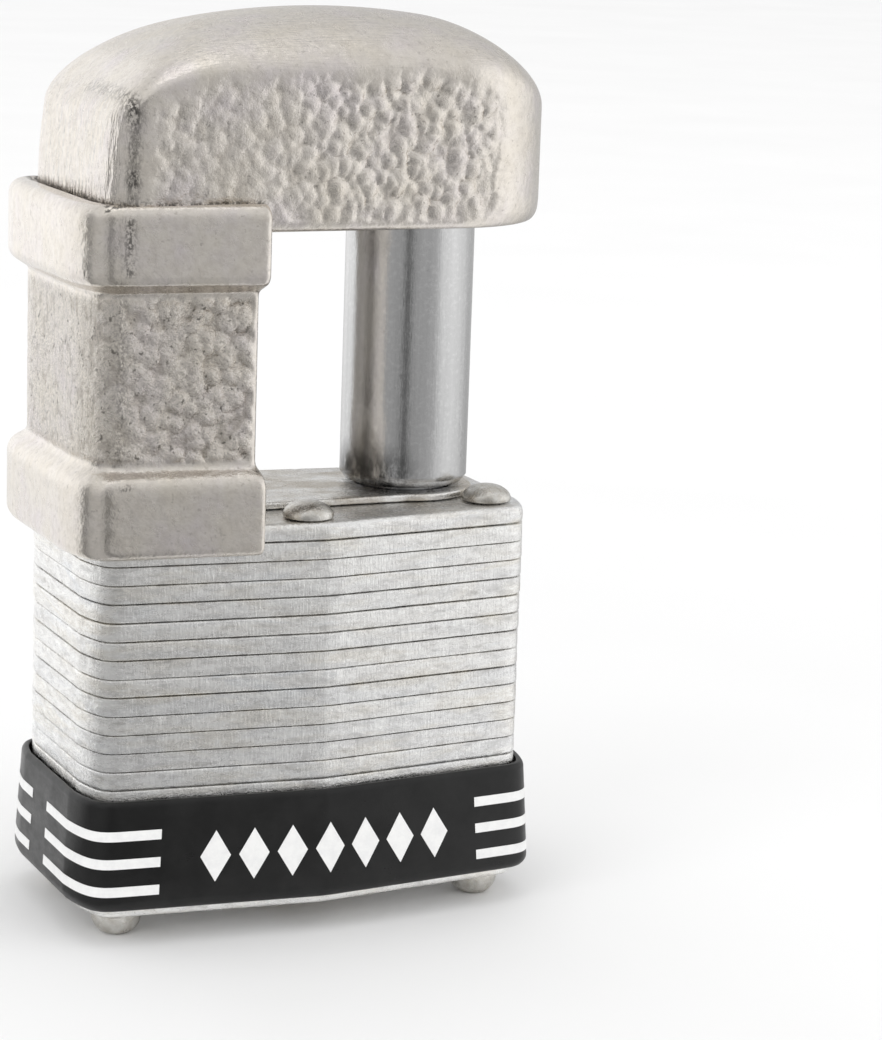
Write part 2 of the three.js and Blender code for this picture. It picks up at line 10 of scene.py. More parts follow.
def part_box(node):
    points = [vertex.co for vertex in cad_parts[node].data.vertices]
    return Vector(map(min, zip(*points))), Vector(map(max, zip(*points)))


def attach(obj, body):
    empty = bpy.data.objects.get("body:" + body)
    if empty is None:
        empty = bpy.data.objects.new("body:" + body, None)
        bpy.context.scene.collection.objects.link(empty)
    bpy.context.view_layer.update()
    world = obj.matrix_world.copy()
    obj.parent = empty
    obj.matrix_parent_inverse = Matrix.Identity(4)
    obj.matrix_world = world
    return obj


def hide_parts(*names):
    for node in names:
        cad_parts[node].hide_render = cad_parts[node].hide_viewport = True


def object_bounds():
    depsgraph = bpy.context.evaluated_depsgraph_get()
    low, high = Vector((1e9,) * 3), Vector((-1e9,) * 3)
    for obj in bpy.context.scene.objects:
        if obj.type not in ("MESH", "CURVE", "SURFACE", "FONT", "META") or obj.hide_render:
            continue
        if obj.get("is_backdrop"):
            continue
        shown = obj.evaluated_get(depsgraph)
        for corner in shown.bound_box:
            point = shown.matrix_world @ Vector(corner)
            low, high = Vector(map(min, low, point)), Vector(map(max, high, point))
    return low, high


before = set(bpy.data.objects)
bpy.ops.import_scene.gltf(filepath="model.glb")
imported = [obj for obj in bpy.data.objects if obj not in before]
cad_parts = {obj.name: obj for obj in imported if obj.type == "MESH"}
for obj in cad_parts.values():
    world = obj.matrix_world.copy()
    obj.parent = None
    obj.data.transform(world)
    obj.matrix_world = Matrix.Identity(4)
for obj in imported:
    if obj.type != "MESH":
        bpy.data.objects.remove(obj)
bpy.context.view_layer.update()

# The looks of a shrouded laminated padlock, built round its CAD frame. Helpers work in
# millimetres from the middle of the body, as the part is dimensioned; piece() turns that into
# the frame's metres.
MM = 0.001
body_low, body_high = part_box("plate_11")
ORIGIN = np.array([(body_low.x + body_high.x) / 2, (body_low.y + body_high.y) / 2, 0.0])
chance = random.Random(41)

# ---- Dimensions of the part ----
HALF_WIDTH, CREASE_Y = 19.6, 11.5
CORNER_X, CORNER_Y, SIDE_END_Y = 18.0, 9.7, 5.8
PLATES, PITCH, PLATE, FOOT = 21, 1.55, 1.48, 2.1
TOP = FOOT + PLATES * PITCH
HEEL_X, TOE_X, BAR, LEG_BORE = -12.0, 11.4, 4.0, 4.3
LIFT, DOG_TRAVEL, DRIVE_RADIUS = 15.8, 2.0, 2.0
DOG_LOW = FOOT + 13 * PITCH + 0.2
DOG_HIGH = DOG_LOW + 3 * PITCH - 0.45
ARM_HIGH, DOG_HALF, TOE_NOSE, HEEL_NOSE = DOG_LOW + 1.6, 3.5, 7.1, 8.3
NOTCH_LOW, NOTCH_HIGH = DOG_LOW - 0.4, DOG_HIGH + 0.4
NECK_LOW, NECK_HIGH, NECK_RADIUS = DOG_LOW - LIFT - 0.25, DOG_HIGH - LIFT + 0.35, 3.3
HEEL_END = NECK_LOW - 1.3
TOE_END = TOP + 0.85 - LIFT
BOW_Z = TOP + 23
RIVET_X, RIVET_Y, CENTRE_X, CENTRE_Y = 16.3, 6.6, -1.0, 9.0
SHANK, HEAD, HEAD_HIGH, RIVET_HOLE = 1.25, 2.15, 1.4, 1.5
SHELL_R, SHELL_NOSE, SHELL_LOW, SHELL_HIGH = 6.3, 5.2, 3.75, 18.6
BIBLE_X, BIBLE_HALF = 9.8, 2.4
PLUG_R, PLUG_HIGH, TENON_HIGH = 3.9, 18.9, 20.6
CHAMBER_R, PIN_R = 1.25, 1.05
CHAMBERS = [5.4 + i * 3.6 for i in range(4)]
FOOT_THICK, FOOT_HALF, FOOT_TAIL, FOOT_END = 0.6, 5.6, 4.9, 5.9
SLEEVE_R, SLEEVE_LOW, SLEEVE_HIGH = 5.45, TOP + 0.95, TOP + 24.9
GUARD_RIGHT, BAND, COLUMN, WALL, FLOOR = -6.1, 1.95, 0.5, 1.25, 1.8
SKIRT_LOW, SKIRT_HIGH = TOP - 2.2, TOP + 4.0
COLUMN_LOW, COLUMN_HIGH = TOP + 5.0, TOP + 19.0
COLLAR_LOW, COLLAR_HIGH = TOP + 20.0, TOP + 26.1
CAP_LEFT, CAP_DRAFT, CAP_HALF, CAP_END = -18.9, 0.5, 10.8, 11.3
CAP_LOW, CAP_WALL = TOP + 23.6, TOP + 36
CROWN, CROWN_X, CROWN_FALL = 4.98, 3.0, 125.0
CAP_CORNER_X, CAP_CORNER_Y = 3.3, 3.8
HEEL_DROP, TOE_DROP = 4.0, 3.6
BUMPER_LOW, BUMPER_WIDE, BUMPER_HIGH = TOP - 31.7, TOP - 31.1, TOP - 22.5


# ---- Plan curves ----
def smoothstep(t):
    t = np.clip(t, 0.0, 1.0)
    return t * t * (3 - 2 * t)


def bezier(start, control, end, steps):
    """Points of a quadratic curve, both ends included."""
    t = np.linspace(0, 1, steps + 1)[:, None]
    start, control, end = (np.array(p, float) for p in (start, control, end))
    return (1 - t) ** 2 * start + 2 * t * (1 - t) * control + t * t * end


def spread(points, count, closed=False):
    """count points evenly spaced along a line of points."""
    points = np.asarray(points, float)
    if closed:
        points = np.vstack([points, points[:1]])
    step = np.linalg.norm(np.diff(points, axis=0), axis=1)
    along = np.concatenate([[0], np.cumsum(step)])
    wanted = np.linspace(0, along[-1], count + 1)[:-1] if closed else np.linspace(0, along[-1], count)
    return np.stack([np.interp(wanted, along, points[:, k]) for k in range(points.shape[1])], axis=1)


def rounded(points, radius, steps=5, closed=False):
    """A line of points with each inner corner eased; radius is one number or one per point."""
    points = [np.array(p, float) for p in points]
    radii = radius if isinstance(radius, (list, tuple)) else [radius] * len(points)
    made = []
    last = len(points) - 1
    for i, point in enumerate(points):
        if not closed and i in (0, last):
            made.append(point)
            continue
        before, after = points[i - 1], points[(i + 1) % len(points)]
        a, b = before - point, after - point
        reach = min(radii[i], np.linalg.norm(a) * 0.49, np.linalg.norm(b) * 0.49)
        if reach < 1e-6:
            made.append(point)
            continue
        a, b = a / np.linalg.norm(a), b / np.linalg.norm(b)
        made.extend(bezier(point + a * reach, point, point + b * reach, steps))
    return np.array(made)


def body_outline(grow=0.0, count=480):
    """The body's plan as evenly spaced points, starting at the front crease and going to +X."""
    width, crease = HALF_WIDTH + grow, CREASE_Y + grow
    corner = (CORNER_X + grow * 0.75, CORNER_Y + grow)
    ease = (width - 0.35, CORNER_Y + grow - 1.1)
    side = SIDE_END_Y + grow * 0.2
    quarter = [(0.9, -crease + 0.09), (corner[0] - 1.2, -corner[1] - 0.12)]
    quarter += bezier((corner[0] - 1.2, -corner[1] - 0.12), (corner[0] + 0.1, -corner[1]),
                      (corner[0] + 0.55, -corner[1] + 0.55), 4)[1:].tolist()
    quarter += bezier((corner[0] + 0.55, -corner[1] + 0.55), (ease[0], -ease[1] + 0.3),
                      (width, -side), 10)[1:].tolist()
    quarter = np.array([[0.0, -crease + 0.03]] + [list(p) for p in quarter])
    back = quarter[::-1] * [1, -1]
    loop = np.vstack([quarter, back, quarter * [-1, -1], (quarter * [-1, 1])[::-1]])
    keep = np.linalg.norm(np.roll(loop, -1, axis=0) - loop, axis=1) > 1e-6
    return spread(loop[keep], count, closed=True)


def normals_of(loop):
    """Outward normals of a closed plan that runs anticlockwise."""
    along = np.roll(loop, -1, axis=0) - np.roll(loop, 1, axis=0)
    along /= np.maximum(np.linalg.norm(along, axis=1), 1e-9)[:, None]
    return np.stack([along[:, 1], -along[:, 0]], axis=1)


def cap_outline(inset, draft=0.0, counts=(150, 180, 24, 104)):
    """The cap's plan: front, half-round toe end, back, corner, heel end, corner."""
    straight, toe, corner_steps, end = counts
    half = CAP_HALF - inset
    left = CAP_LEFT + inset + draft
    corner_x = CAP_CORNER_X * half / CAP_HALF
    corner_y = CAP_CORNER_Y * half / CAP_HALF
    share = np.linspace(0, 1, corner_steps + 1)[:, None]
    ends = np.array([(left + corner_x, half), (left, half - corner_y)])
    pulls = np.array([(left + 0.3 * corner_x, half), (left, half - 0.3 * corner_y)])
    angle = np.linspace(-math.pi / 2, math.pi / 2, toe + 1)
    arc = np.stack([CAP_END + half * np.cos(angle), half * np.sin(angle)], axis=1)
    front = spread([(left + corner_x, -half), (CAP_END, -half)], straight + 1)
    corner = (ends[0] * (1 - share) ** 3 + 3 * pulls[0] * share * (1 - share) ** 2
              + 3 * pulls[1] * share ** 2 * (1 - share) + ends[1] * share ** 3)
    heel = spread([(left, half - corner_y), (left, -half + corner_y)], end + 1)
    return np.vstack([front[:-1], arc[:-1], (front * [1, -1])[::-1][:-1], corner[:-1],
                      heel[:-1], (corner * [1, -1])[::-1][:-1]])


def guard_outline(grow, right, fillet=0.7, counts=(300, 8, 60)):
    """The part of the body's plan left of right, closed by a flat right face."""
    sweep, ease, face = counts
    loop = body_outline(grow, 1200)
    loop = np.roll(loop, -600, axis=0)
    back = loop[(loop[:, 0] <= right) & (loop[:, 1] > 0)]
    front = loop[(loop[:, 0] <= right) & (loop[:, 1] <= 0)]
    line = np.vstack([back[np.argsort(back[:, 0])][::-1], front[np.argsort(front[:, 0])]])
    sides = [p for p in loop[(loop[:, 0] <= right)]]
    order = np.argsort([math.atan2(p[1], -(p[0] - right) + 1e-9) for p in sides])[::-1]
    line = np.array([sides[i] for i in order])
    y_back, y_front = line[0][1], line[-1][1]
    line = line[(np.abs(line[:, 1] - y_back) > fillet * 0.2) | (line[:, 0] < right - fillet)]
    line = line[(np.abs(line[:, 1] - y_front) > fillet * 0.2) | (line[:, 0] < right - fillet)]
    first = bezier((right, y_back - fillet), (right, y_back), line[0], ease)
    final = bezier(line[-1], (right, y_front), (right, y_front + fillet), ease)
    closing = spread([(right, y_front + fillet), (right, y_back - fillet)], face + 1)
    return np.vstack([spread(line, sweep + 1)[:-1], final[:-1], closing[:-1], first[:-1]])


# ---- Meshes ----
def loft(rings, loop=False, capped=True):
    """Points and faces of a skin over rings of equal length."""
    rings = np.asarray(rings, float)
    count = rings.shape[1]
    points = rings.reshape(-1, 3)
    faces = []
    bands = len(rings) if loop else len(rings) - 1
    for r in range(bands):
        here, nxt = r * count, ((r + 1) % len(rings)) * count
        for i in range(count):
            j = (i + 1) % count
            faces.append((here + i, here + j, nxt + j, nxt + i))
    if capped and not loop:
        faces.append(tuple(range(count))[::-1])
        faces.append(tuple(range((len(rings) - 1) * count, len(rings) * count)))
    return points, faces


def ring_at(plan, z):
    return np.column_stack([plan, np.full(len(plan), z) if np.isscalar(z) else z])


def lathe(profile, sides=64, x=0.0, y=0.0):
    """A turned piece about an upright axis: profile is (radius, z) and starts and ends on it."""
    angle = np.linspace(0, 2 * math.pi, sides, endpoint=False)
    points, faces, rows = [], [], []
    for radius, z in profile:
        if radius < 1e-9:
            rows.append([len(points)])
            points.append((x, y, z))
        else:
            rows.append(list(range(len(points), len(points) + sides)))
            points.extend((x + radius * math.cos(a), y + radius * math.sin(a), z) for a in angle)
    for low, high in zip(rows, rows[1:]):
        for i in range(sides):
            j = (i + 1) % sides
            if len(low) == 1 and len(high) > 1:
                faces.append((low[0], high[j], high[i]))
            elif len(high) == 1 and len(low) > 1:
                faces.append((low[i], low[j], high[0]))
            elif len(low) > 1:
                faces.append((low[i], low[j], high[j], high[i]))
    if len(rows[0]) > 1:
        for i in range(sides):
            j = (i + 1) % sides
            faces.append((rows[-1][i], rows[-1][j], rows[0][j], rows[0][i]))
    return np.array(points), faces


def slab(plan, low, high, holes=(), edge=0.0, edge_steps=3):
    """A flat plate with holes. edge eases its outer rims by that radius."""
    plan = np.asarray(plan, float)
    outward = normals_of(plan)
    profile = [(0.0, low), (0.0, high)]
    if edge > 0:
        turn = np.linspace(0, math.pi / 2, edge_steps + 1)
        profile = [(edge * (1 - math.sin(t)), low + edge * (1 - math.cos(t))) for t in turn]
        profile += [(edge * (1 - math.cos(t)), high - edge * (1 - math.sin(t))) for t in turn]
    rings = [ring_at(plan - outward * inset, z) for inset, z in profile]
    return plate_mesh(rings, holes)


def plate_mesh(rings, holes):
    """Outer rings from the lower face to the upper one, with straight holes through."""
    points, faces = loft(rings, capped=False)
    points = [tuple(p) for p in points]
    count, last = len(rings[0]), (len(rings) - 1) * len(rings[0])
    for base, z, flip in ((0, rings[0][0][2], True), (last, rings[-1][0][2], False)):
        loops = [[Vector((p[0], p[1], 0)) for p in points[base:base + count]]]
        index = list(range(base, base + count))
        for hole in holes:
            start = len(points)
            points.extend((p[0], p[1], z) for p in hole)
            index.extend(range(start, start + len(hole)))
            loops.append([Vector((p[0], p[1], 0)) for p in hole])
        for tri in geometry.tessellate_polygon(loops):
            tri = [index[k] for k in tri]
            faces.append(tuple(tri[::-1] if flip else tri))
    total = sum(len(h) for h in holes)
    lower = len(loft(rings, capped=False)[0])
    start = lower
    for hole in holes:
        n = len(hole)
        for i in range(n):
            j = (i + 1) % n
            faces.append((start + i, start + j, start + total + j, start + total + i))
        start += n
    return np.array(points), faces


def box(x0, x1, y0, y1, z0, z1):
    plan = np.array([(x0, y0), (x1, y0), (x1, y1), (x0, y1)], float)
    return loft([ring_at(plan, z0), ring_at(plan, z1)])


def post(x, y, radius, z0, z1, sides=64):
    plan = circle(x, y, radius, sides)
    return loft([ring_at(plan, z0), ring_at(plan, z1)])


def circle(x, y, radius, sides=48):
    angle = np.linspace(0, 2 * math.pi, sides, endpoint=False)
    return np.stack([x + radius * np.cos(angle), y + radius * np.sin(angle)], axis=1)


def along_x(shape):
    """A shape built along Z about the origin, laid along X."""
    points, faces = shape
    return points[:, [2, 1, 0]] * [1, -1, 1], faces


def moved(shape, x=0.0, y=0.0, z=0.0):
    return shape[0] + [x, y, z], shape[1]


def turned(shape):
    """A quarter turn about Z, from +X to +Y."""
    points, faces = shape
    return np.stack([-points[:, 1], points[:, 0], points[:, 2]], axis=1), faces


def coil(radius, wire, turns, length, steps=28, sides=10):
    """A closed round-wire spring standing on Z, its end turns lying flatter."""
    rise = length - 2 * wire
    total = turns * steps
    t = np.arange(total + 1) / total
    angle = t * turns * 2 * math.pi
    z = wire + rise * (t + 0.35 * np.sin(2 * math.pi * t) / (2 * math.pi) * -1)
    line = np.stack([radius * np.cos(angle), radius * np.sin(angle), z], axis=1)
    return tube(line, wire, sides)


def tube(line, radius, sides, up=None):
    """A round bar along a line of points."""
    line = np.asarray(line, float)
    along = np.gradient(line, axis=0)
    along /= np.linalg.norm(along, axis=1)[:, None]
    up = np.array([0, 0, 1.0]) if up is None else np.array(up, float)
    side = np.cross(along, up)
    side /= np.linalg.norm(side, axis=1)[:, None]
    third = np.cross(side, along)
    angle = np.linspace(0, 2 * math.pi, sides, endpoint=False)
    radii = np.full(len(line), radius) if np.isscalar(radius) else radius
    rings = [p + r * (np.cos(angle)[:, None] * a + np.sin(angle)[:, None] * b)
             for p, a, b, r in zip(line, side, third, radii)]
    return loft(rings)


def make_object(name, shape):
    points, faces = shape
    mesh = bpy.data.meshes.new(name)
    mesh.from_pydata((np.asarray(points) * MM + ORIGIN).tolist(), [], faces)
    bm = bmesh.new()
    bm.from_mesh(mesh)
    bmesh.ops.recalc_face_normals(bm, faces=bm.faces)
    bm.to_mesh(mesh)
    bm.free()
    obj = bpy.data.objects.new(name, mesh)
    bpy.context.scene.collection.objects.link(obj)
    return obj


def apply_modifiers(obj):
    graph = bpy.context.evaluated_depsgraph_get()
    done = bpy.data.meshes.new_from_object(obj.evaluated_get(graph))
    old = obj.data
    obj.modifiers.clear()
    obj.data = done
    bpy.data.meshes.remove(old)


def carve(obj, shapes, operation="DIFFERENCE"):
    """Cuts shapes from obj, or joins them to it, one after another."""
    for k, shape in enumerate(shapes):
        tool = make_object(f"tool_{k}", shape)
        cutter = obj.modifiers.new("carve", "BOOLEAN")
        cutter.operation = operation
        cutter.solver = "MANIFOLD"
        cutter.object = tool
        apply_modifiers(obj)
        bpy.data.objects.remove(tool)


def ease_edges(obj, width, segments=2, angle=40):
    bevel = obj.modifiers.new("ease", "BEVEL")
    bevel.width = width * MM
    bevel.segments = segments
    bevel.limit_method = "ANGLE"
    bevel.angle_limit = math.radians(angle)
    bevel.harden_normals = False
    apply_modifiers(obj)


def piece(name, shape, body, finish, nodes, cuts=(), joins=(), ease=0.0, crease=35):
    """One named piece of the lock, riding on its CAD body and standing for its CAD nodes."""
    obj = make_object(name, shape)
    if joins:
        carve(obj, joins, "UNION")
    if cuts:
        carve(obj, cuts)
    if ease > 0:
        ease_edges(obj, ease)
    mesh = obj.data
    mesh.polygons.foreach_set("use_smooth", [True] * len(mesh.polygons))
    mesh.set_sharp_from_angle(angle=math.radians(crease))
    mesh.materials.clear()
    mesh.materials.append(finish)
    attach(obj, body)
    if nodes:
        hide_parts(*nodes)
    return obj


# ---- Hammered surface ----
def pebble(point, size):
    """Height of a hammered casting at a point in mm, 0 in the grooves to about 1 on a pebble."""
    wobble = noise.noise_vector(Vector(point) * 0.9) * 0.22
    distances, centres = noise.voronoi(Vector(point) / size + wobble)
    gap = distances[1] - distances[0]
    centre = centres[0]
    roll = math.sin(centre.x * 12.9 + centre.y * 78.2 + centre.z * 37.7) * 43758.5
    roll -= math.floor(roll)
    turn = roll * 6.283
    away = Vector(point) / size + wobble - centre
    lean = away.x * math.cos(turn) + away.z * math.sin(turn)
    dome = max(0.0, 1 - (distances[0] / 0.78) ** 2)
    seam = math.exp(-(gap / 0.1) ** 2)
    return dome * (0.8 + 0.35 * roll) - 0.12 * seam + 0.16 * lean


# ---- Materials ----
class Paint:
    """A short way to write a procedural material. Coordinates are the frame's, in mm."""

    def __init__(self, name, metallic, roughness, **sockets):
        self.material = bpy.data.materials.new(name)
        self.material.use_nodes = True
        self.tree = self.material.node_tree
        self.shader = self.tree.nodes["Principled BSDF"]
        self.shader.inputs["Metallic"].default_value = metallic
        self.shader.inputs["Roughness"].default_value = roughness
        for socket, value in sockets.items():
            self.shader.inputs[socket.replace("_", " ")].default_value = value
        where = self.tree.nodes.new("ShaderNodeTexCoord")
        self.here = self.mapping(where.outputs["Object"], (1000, 1000, 1000))

    def link(self, source, socket):
        if isinstance(source, bpy.types.NodeSocket):
            self.tree.links.new(source, socket)
        else:
            socket.default_value = source

    def mapping(self, source, scale, location=(0, 0, 0), rotation=(0, 0, 0)):
        node = self.tree.nodes.new("ShaderNodeMapping")
        node.inputs["Scale"].default_value = scale
        node.inputs["Location"].default_value = location
        node.inputs["Rotation"].default_value = rotation
        self.link(source, node.inputs["Vector"])
        return node.outputs["Vector"]

    def noise(self, size, detail=4.0, rough=0.55, stretch=(1, 1, 1), twist=0.0, offset=0.0):
        """Noise whose features are about size mm across, stretched along an axis by stretch."""
        node = self.tree.nodes.new("ShaderNodeTexNoise")
        scale = tuple(1 / (size * s) for s in stretch)
        shifted = self.mapping(self.here, scale, location=(offset, offset * 0.7, offset * 1.3))
        self.link(shifted, node.inputs["Vector"])
        node.inputs["Scale"].default_value = 1.0
        node.inputs["Detail"].default_value = detail
        node.inputs["Roughness"].default_value = rough
        node.inputs["Distortion"].default_value = twist
        return node.outputs["Fac"]

    def cells(self, size, feature="F1"):
        node = self.tree.nodes.new("ShaderNodeTexVoronoi")
        node.feature = feature
        self.link(self.mapping(self.here, (1 / size,) * 3), node.inputs["Vector"])
        node.inputs["Scale"].default_value = 1.0
        return node.outputs["Distance"]

    def ramp(self, source, stops):
        """stops are (place, value) or (place, (r, g, b))."""
        node = self.tree.nodes.new("ShaderNodeValToRGB")
        self.link(source, node.inputs["Fac"])
        elements = node.color_ramp.elements
        while len(elements) < len(stops):
            elements.new(0.5)
        for element, (place, value) in zip(elements, stops):
            element.position = place
            rgb = value if isinstance(value, tuple) else (value,) * 3
            element.color = (*rgb, 1)
        return node.outputs["Color"]

    def mix(self, share, first, second, how="MIX"):
        node = self.tree.nodes.new("ShaderNodeMix")
        node.data_type = "RGBA"
        node.blend_type = how
        self.link(share, node.inputs["Factor"])
        for value, socket in ((first, node.inputs["A"]), (second, node.inputs["B"])):
            self.link((*value, 1) if isinstance(value, tuple) else value, socket)
        return node.outputs["Result"]

    def math(self, how, first, second=0.0, clamp=False):
        node = self.tree.nodes.new("ShaderNodeMath")
        node.operation = how
        node.use_clamp = clamp
        self.link(first, node.inputs[0])
        self.link(second, node.inputs[1])
        return node.outputs["Value"]

    def attribute(self, name):
        node = self.tree.nodes.new("ShaderNodeAttribute")
        node.attribute_name = name
        return node.outputs["Fac"]

    def random(self):
        return self.tree.nodes.new("ShaderNodeObjectInfo").outputs["Random"]

    def axis(self, name):
        node = self.tree.nodes.new("ShaderNodeSeparateXYZ")
        self.link(self.here, node.inputs["Vector"])
        return node.outputs[name]

    def near(self, axis, place, reach):
        """1 where the axis value is at place, falling to 0 at reach mm from it."""
        away = self.math("ABSOLUTE", self.math("SUBTRACT", self.axis(axis), place))
        return self.math("SUBTRACT", 1.0, self.math("DIVIDE", away, reach), clamp=True)

    def worn_edges(self, low=0.5, high=0.6):
        node = self.tree.nodes.new("ShaderNodeNewGeometry")
        return self.ramp(node.outputs["Pointiness"], [(low, 0.0), (high, 1.0)])

    def color(self, source):
        self.link(source, self.shader.inputs["Base Color"])

    def roughness(self, source):
        self.link(source, self.shader.inputs["Roughness"])

    def bump(self, *layers):
        """Each layer is (height, depth in mm)."""
        normal = None
        for height, depth in layers:
            node = self.tree.nodes.new("ShaderNodeBump")
            node.inputs["Distance"].default_value = depth * MM
            self.link(height, node.inputs["Height"])
            if normal is not None:
                self.link(normal, node.inputs["Normal"])
            normal = node.outputs["Normal"]
        self.link(normal, self.shader.inputs["Normal"])


def zinc_finish():
    """Passivated zinc on sheared steel: frosty and speckled, faintly blue and straw, stained."""
    p = Paint("zinc_plate", 1.0, 0.34)
    tone = p.ramp(p.random(), [(0.0, (0.86, 0.86, 0.86)), (0.5, (0.92, 0.91, 0.89)),
                               (1.0, (0.88, 0.875, 0.87))])
    blush = p.noise(4.0, 4, 0.6, stretch=(2.2, 2.2, 0.45), twist=0.8)
    tone = p.mix(p.ramp(blush, [(0.48, 0.0), (0.66, 0.6)]), tone, (0.84, 0.80, 0.72))
    tone = p.mix(p.ramp(blush, [(0.28, 0.4), (0.40, 0.0)]), tone, (0.76, 0.80, 0.85))
    frost = p.noise(0.7, 6, 0.75, stretch=(2.4, 2.4, 0.8), offset=3)
    tone = p.mix(p.ramp(frost, [(0.34, 0.55), (0.50, 0.0)]), tone, (0.53, 0.52, 0.505))
    tone = p.mix(p.ramp(frost, [(0.50, 0.0), (0.66, 0.9)]), tone, (1.0, 1.0, 0.98))
    speck = p.noise(0.22, 4, 0.8)
    tone = p.mix(p.ramp(speck, [(0.62, 0.0), (0.72, 0.45)]), tone, (0.34, 0.33, 0.31))
    stain = p.noise(2.6, 5, 0.65, stretch=(1.6, 1, 0.5), offset=9)
    tone = p.mix(p.ramp(stain, [(0.60, 0.0), (0.72, 0.6)]), tone, (0.47, 0.455, 0.43))
    top = p.ramp(p.math("SUBTRACT", p.axis("Z"), TOP - 1), [(0.9, 0.0), (0.96, 1.0)])
    smear = p.noise(3.2, 4, 0.6, stretch=(1.8, 1, 1), offset=21)
    smear = p.math("MULTIPLY", p.ramp(smear, [(0.40, 0.0), (0.60, 0.75)]), top)
    tone = p.mix(smear, tone, (0.47, 0.41, 0.325))
    p.color(tone)
    grain = p.noise(0.16, 3, 0.6, stretch=(1, 1, 7))
    p.roughness(p.ramp(frost, [(0.3, 0.34), (0.7, 0.18)]))
    p.bump((grain, 0.05), (p.noise(0.3, 6, 0.75), 0.06), (p.noise(1.6, 3, 0.5, (2, 2, 0.6)), 0.08))
    return p.material


def cast_finish():
    """Nickel-plated zinc casting: warm, satin, with dirt and painted shade in the hammered grooves,
    painted shade in the gaps between cap and guard, and a painted dark reflection line down the front
    heel corner.
    """
    p = Paint("cast_nickel", 1.0, 0.3)
    cloud = p.noise(4.5, 4, 0.6)
    tone = p.ramp(cloud, [(0.3, (0.73, 0.68, 0.605)), (0.5, (0.75, 0.705, 0.65)),
                          (0.72, (0.725, 0.675, 0.665))])
    mottle = p.noise(0.7, 5, 0.65, offset=11)
    tone = p.mix(p.ramp(mottle, [(0.35, 0.28), (0.55, 0.0)]), tone, (0.52, 0.475, 0.43))
    # Darker in the hammered grooves, going by the pebbles' depth: partly dirt, partly painted shade.
    groove_dirt_and_shade = p.attribute("groove_dirt_and_shade")
    tone = p.mix(p.ramp(groove_dirt_and_shade, [(0.5, 0.0), (1.0, 0.4)]), tone, (0.36, 0.32, 0.27))
    crust = p.attribute("crust")
    pocks = p.noise(0.5, 3, 0.6, offset=5)
    pocks = p.math("MULTIPLY", p.ramp(pocks, [(0.62, 0.0), (0.70, 0.85)]),
                   p.ramp(crust, [(0.0, 0.25), (1.0, 1.0)]))
    tone = p.mix(pocks, tone, (0.13, 0.12, 0.105))
    grime = p.noise(0.22, 4, 0.8, offset=15)
    grime = p.math("MULTIPLY", p.ramp(grime, [(0.50, 0.0), (0.66, 0.6)]), crust)
    tone = p.mix(grime, tone, (0.30, 0.275, 0.24))
    # Near black: painted shade in the gaps between cap and guard, and a painted dark reflection line
    # down the front heel corner, both broken up by noise.
    shade_and_reflection = p.math("MULTIPLY", p.attribute("shade_and_reflection"), p.ramp(p.noise(0.3, 5, 0.8, stretch=(1, 1, 1.6)),
                                                         [(0.46, 0.0), (0.54, 1.0)]))
    tone = p.mix(shade_and_reflection, tone, (0.07, 0.065, 0.06))
    p.color(tone)
    p.roughness(p.ramp(p.noise(1.4, 4, 0.6, offset=2), [(0.3, 0.17), (0.72, 0.31)]))
    ripple = p.math("MULTIPLY", p.noise(0.55, 3, 0.5, stretch=(1, 1, 5)), p.attribute("ripple"))
    brush = p.math("MULTIPLY", p.noise(0.2, 3, 0.6, stretch=(14, 1, 1)), p.attribute("brush"))
    crumb = p.math("MULTIPLY", p.noise(0.32, 4, 0.7), crust)
    p.bump((p.noise(0.25, 4, 0.6), 0.025), (p.noise(0.9, 3, 0.5, offset=8), 0.07), (ripple, 0.22),
           (brush, 0.09), (crumb, 0.15))
    return p.material


def polished_finish(name="polished_steel", tint=(0.56, 0.56, 0.56), rough=0.14):
    """Ground and polished hardened steel with lengthwise streaks and smudges."""
    p = Paint(name, 1.0, rough)
    streak = p.noise(0.5, 4, 0.55, stretch=(1, 1, 30))
    cloud = p.noise(3.0, 4, 0.55, stretch=(1, 1, 2.5))
    dim = tuple(c * 0.9 for c in tint)
    tone = p.ramp(streak, [(0.3, dim), (0.7, tint)])
    mist = p.noise(0.4, 5, 0.7, offset=6)
    tone = p.mix(p.ramp(mist, [(0.5, 0.0), (0.75, 0.5)]), tone, tuple(c * 1.3 for c in tint))
    smudge = p.noise(1.1, 5, 0.75, stretch=(1, 1, 1.8), offset=4)
    height = p.math("DIVIDE", p.math("SUBTRACT", p.axis("Z"), TOP), 25.0)
    side = p.math("DIVIDE", p.math("SUBTRACT", p.axis("X"), TOE_X - SLEEVE_R), 2 * SLEEVE_R)
    lower = p.math("MULTIPLY", p.ramp(height, [(0.10, 1.0), (0.20, 0.0)]),
                   p.ramp(side, [(0.22, 1.0), (0.42, 0.0)]))
    soiled = p.math("MULTIPLY", p.ramp(smudge, [(0.36, 0.0), (0.52, 0.85)]), lower)
    smudge = p.math("MAXIMUM", p.ramp(smudge, [(0.64, 0.0), (0.74, 0.5)]), soiled)
    tone = p.mix(smudge, tone, (0.10, 0.10, 0.10))
    p.color(tone)
    p.roughness(p.ramp(cloud, [(0.3, rough * 0.8), (0.7, rough * 1.5)]))
    p.bump((p.noise(0.1, 3, 0.6, stretch=(1, 1, 12)), 0.008), (p.noise(0.7, 4, 0.6), 0.014))
    return p.material


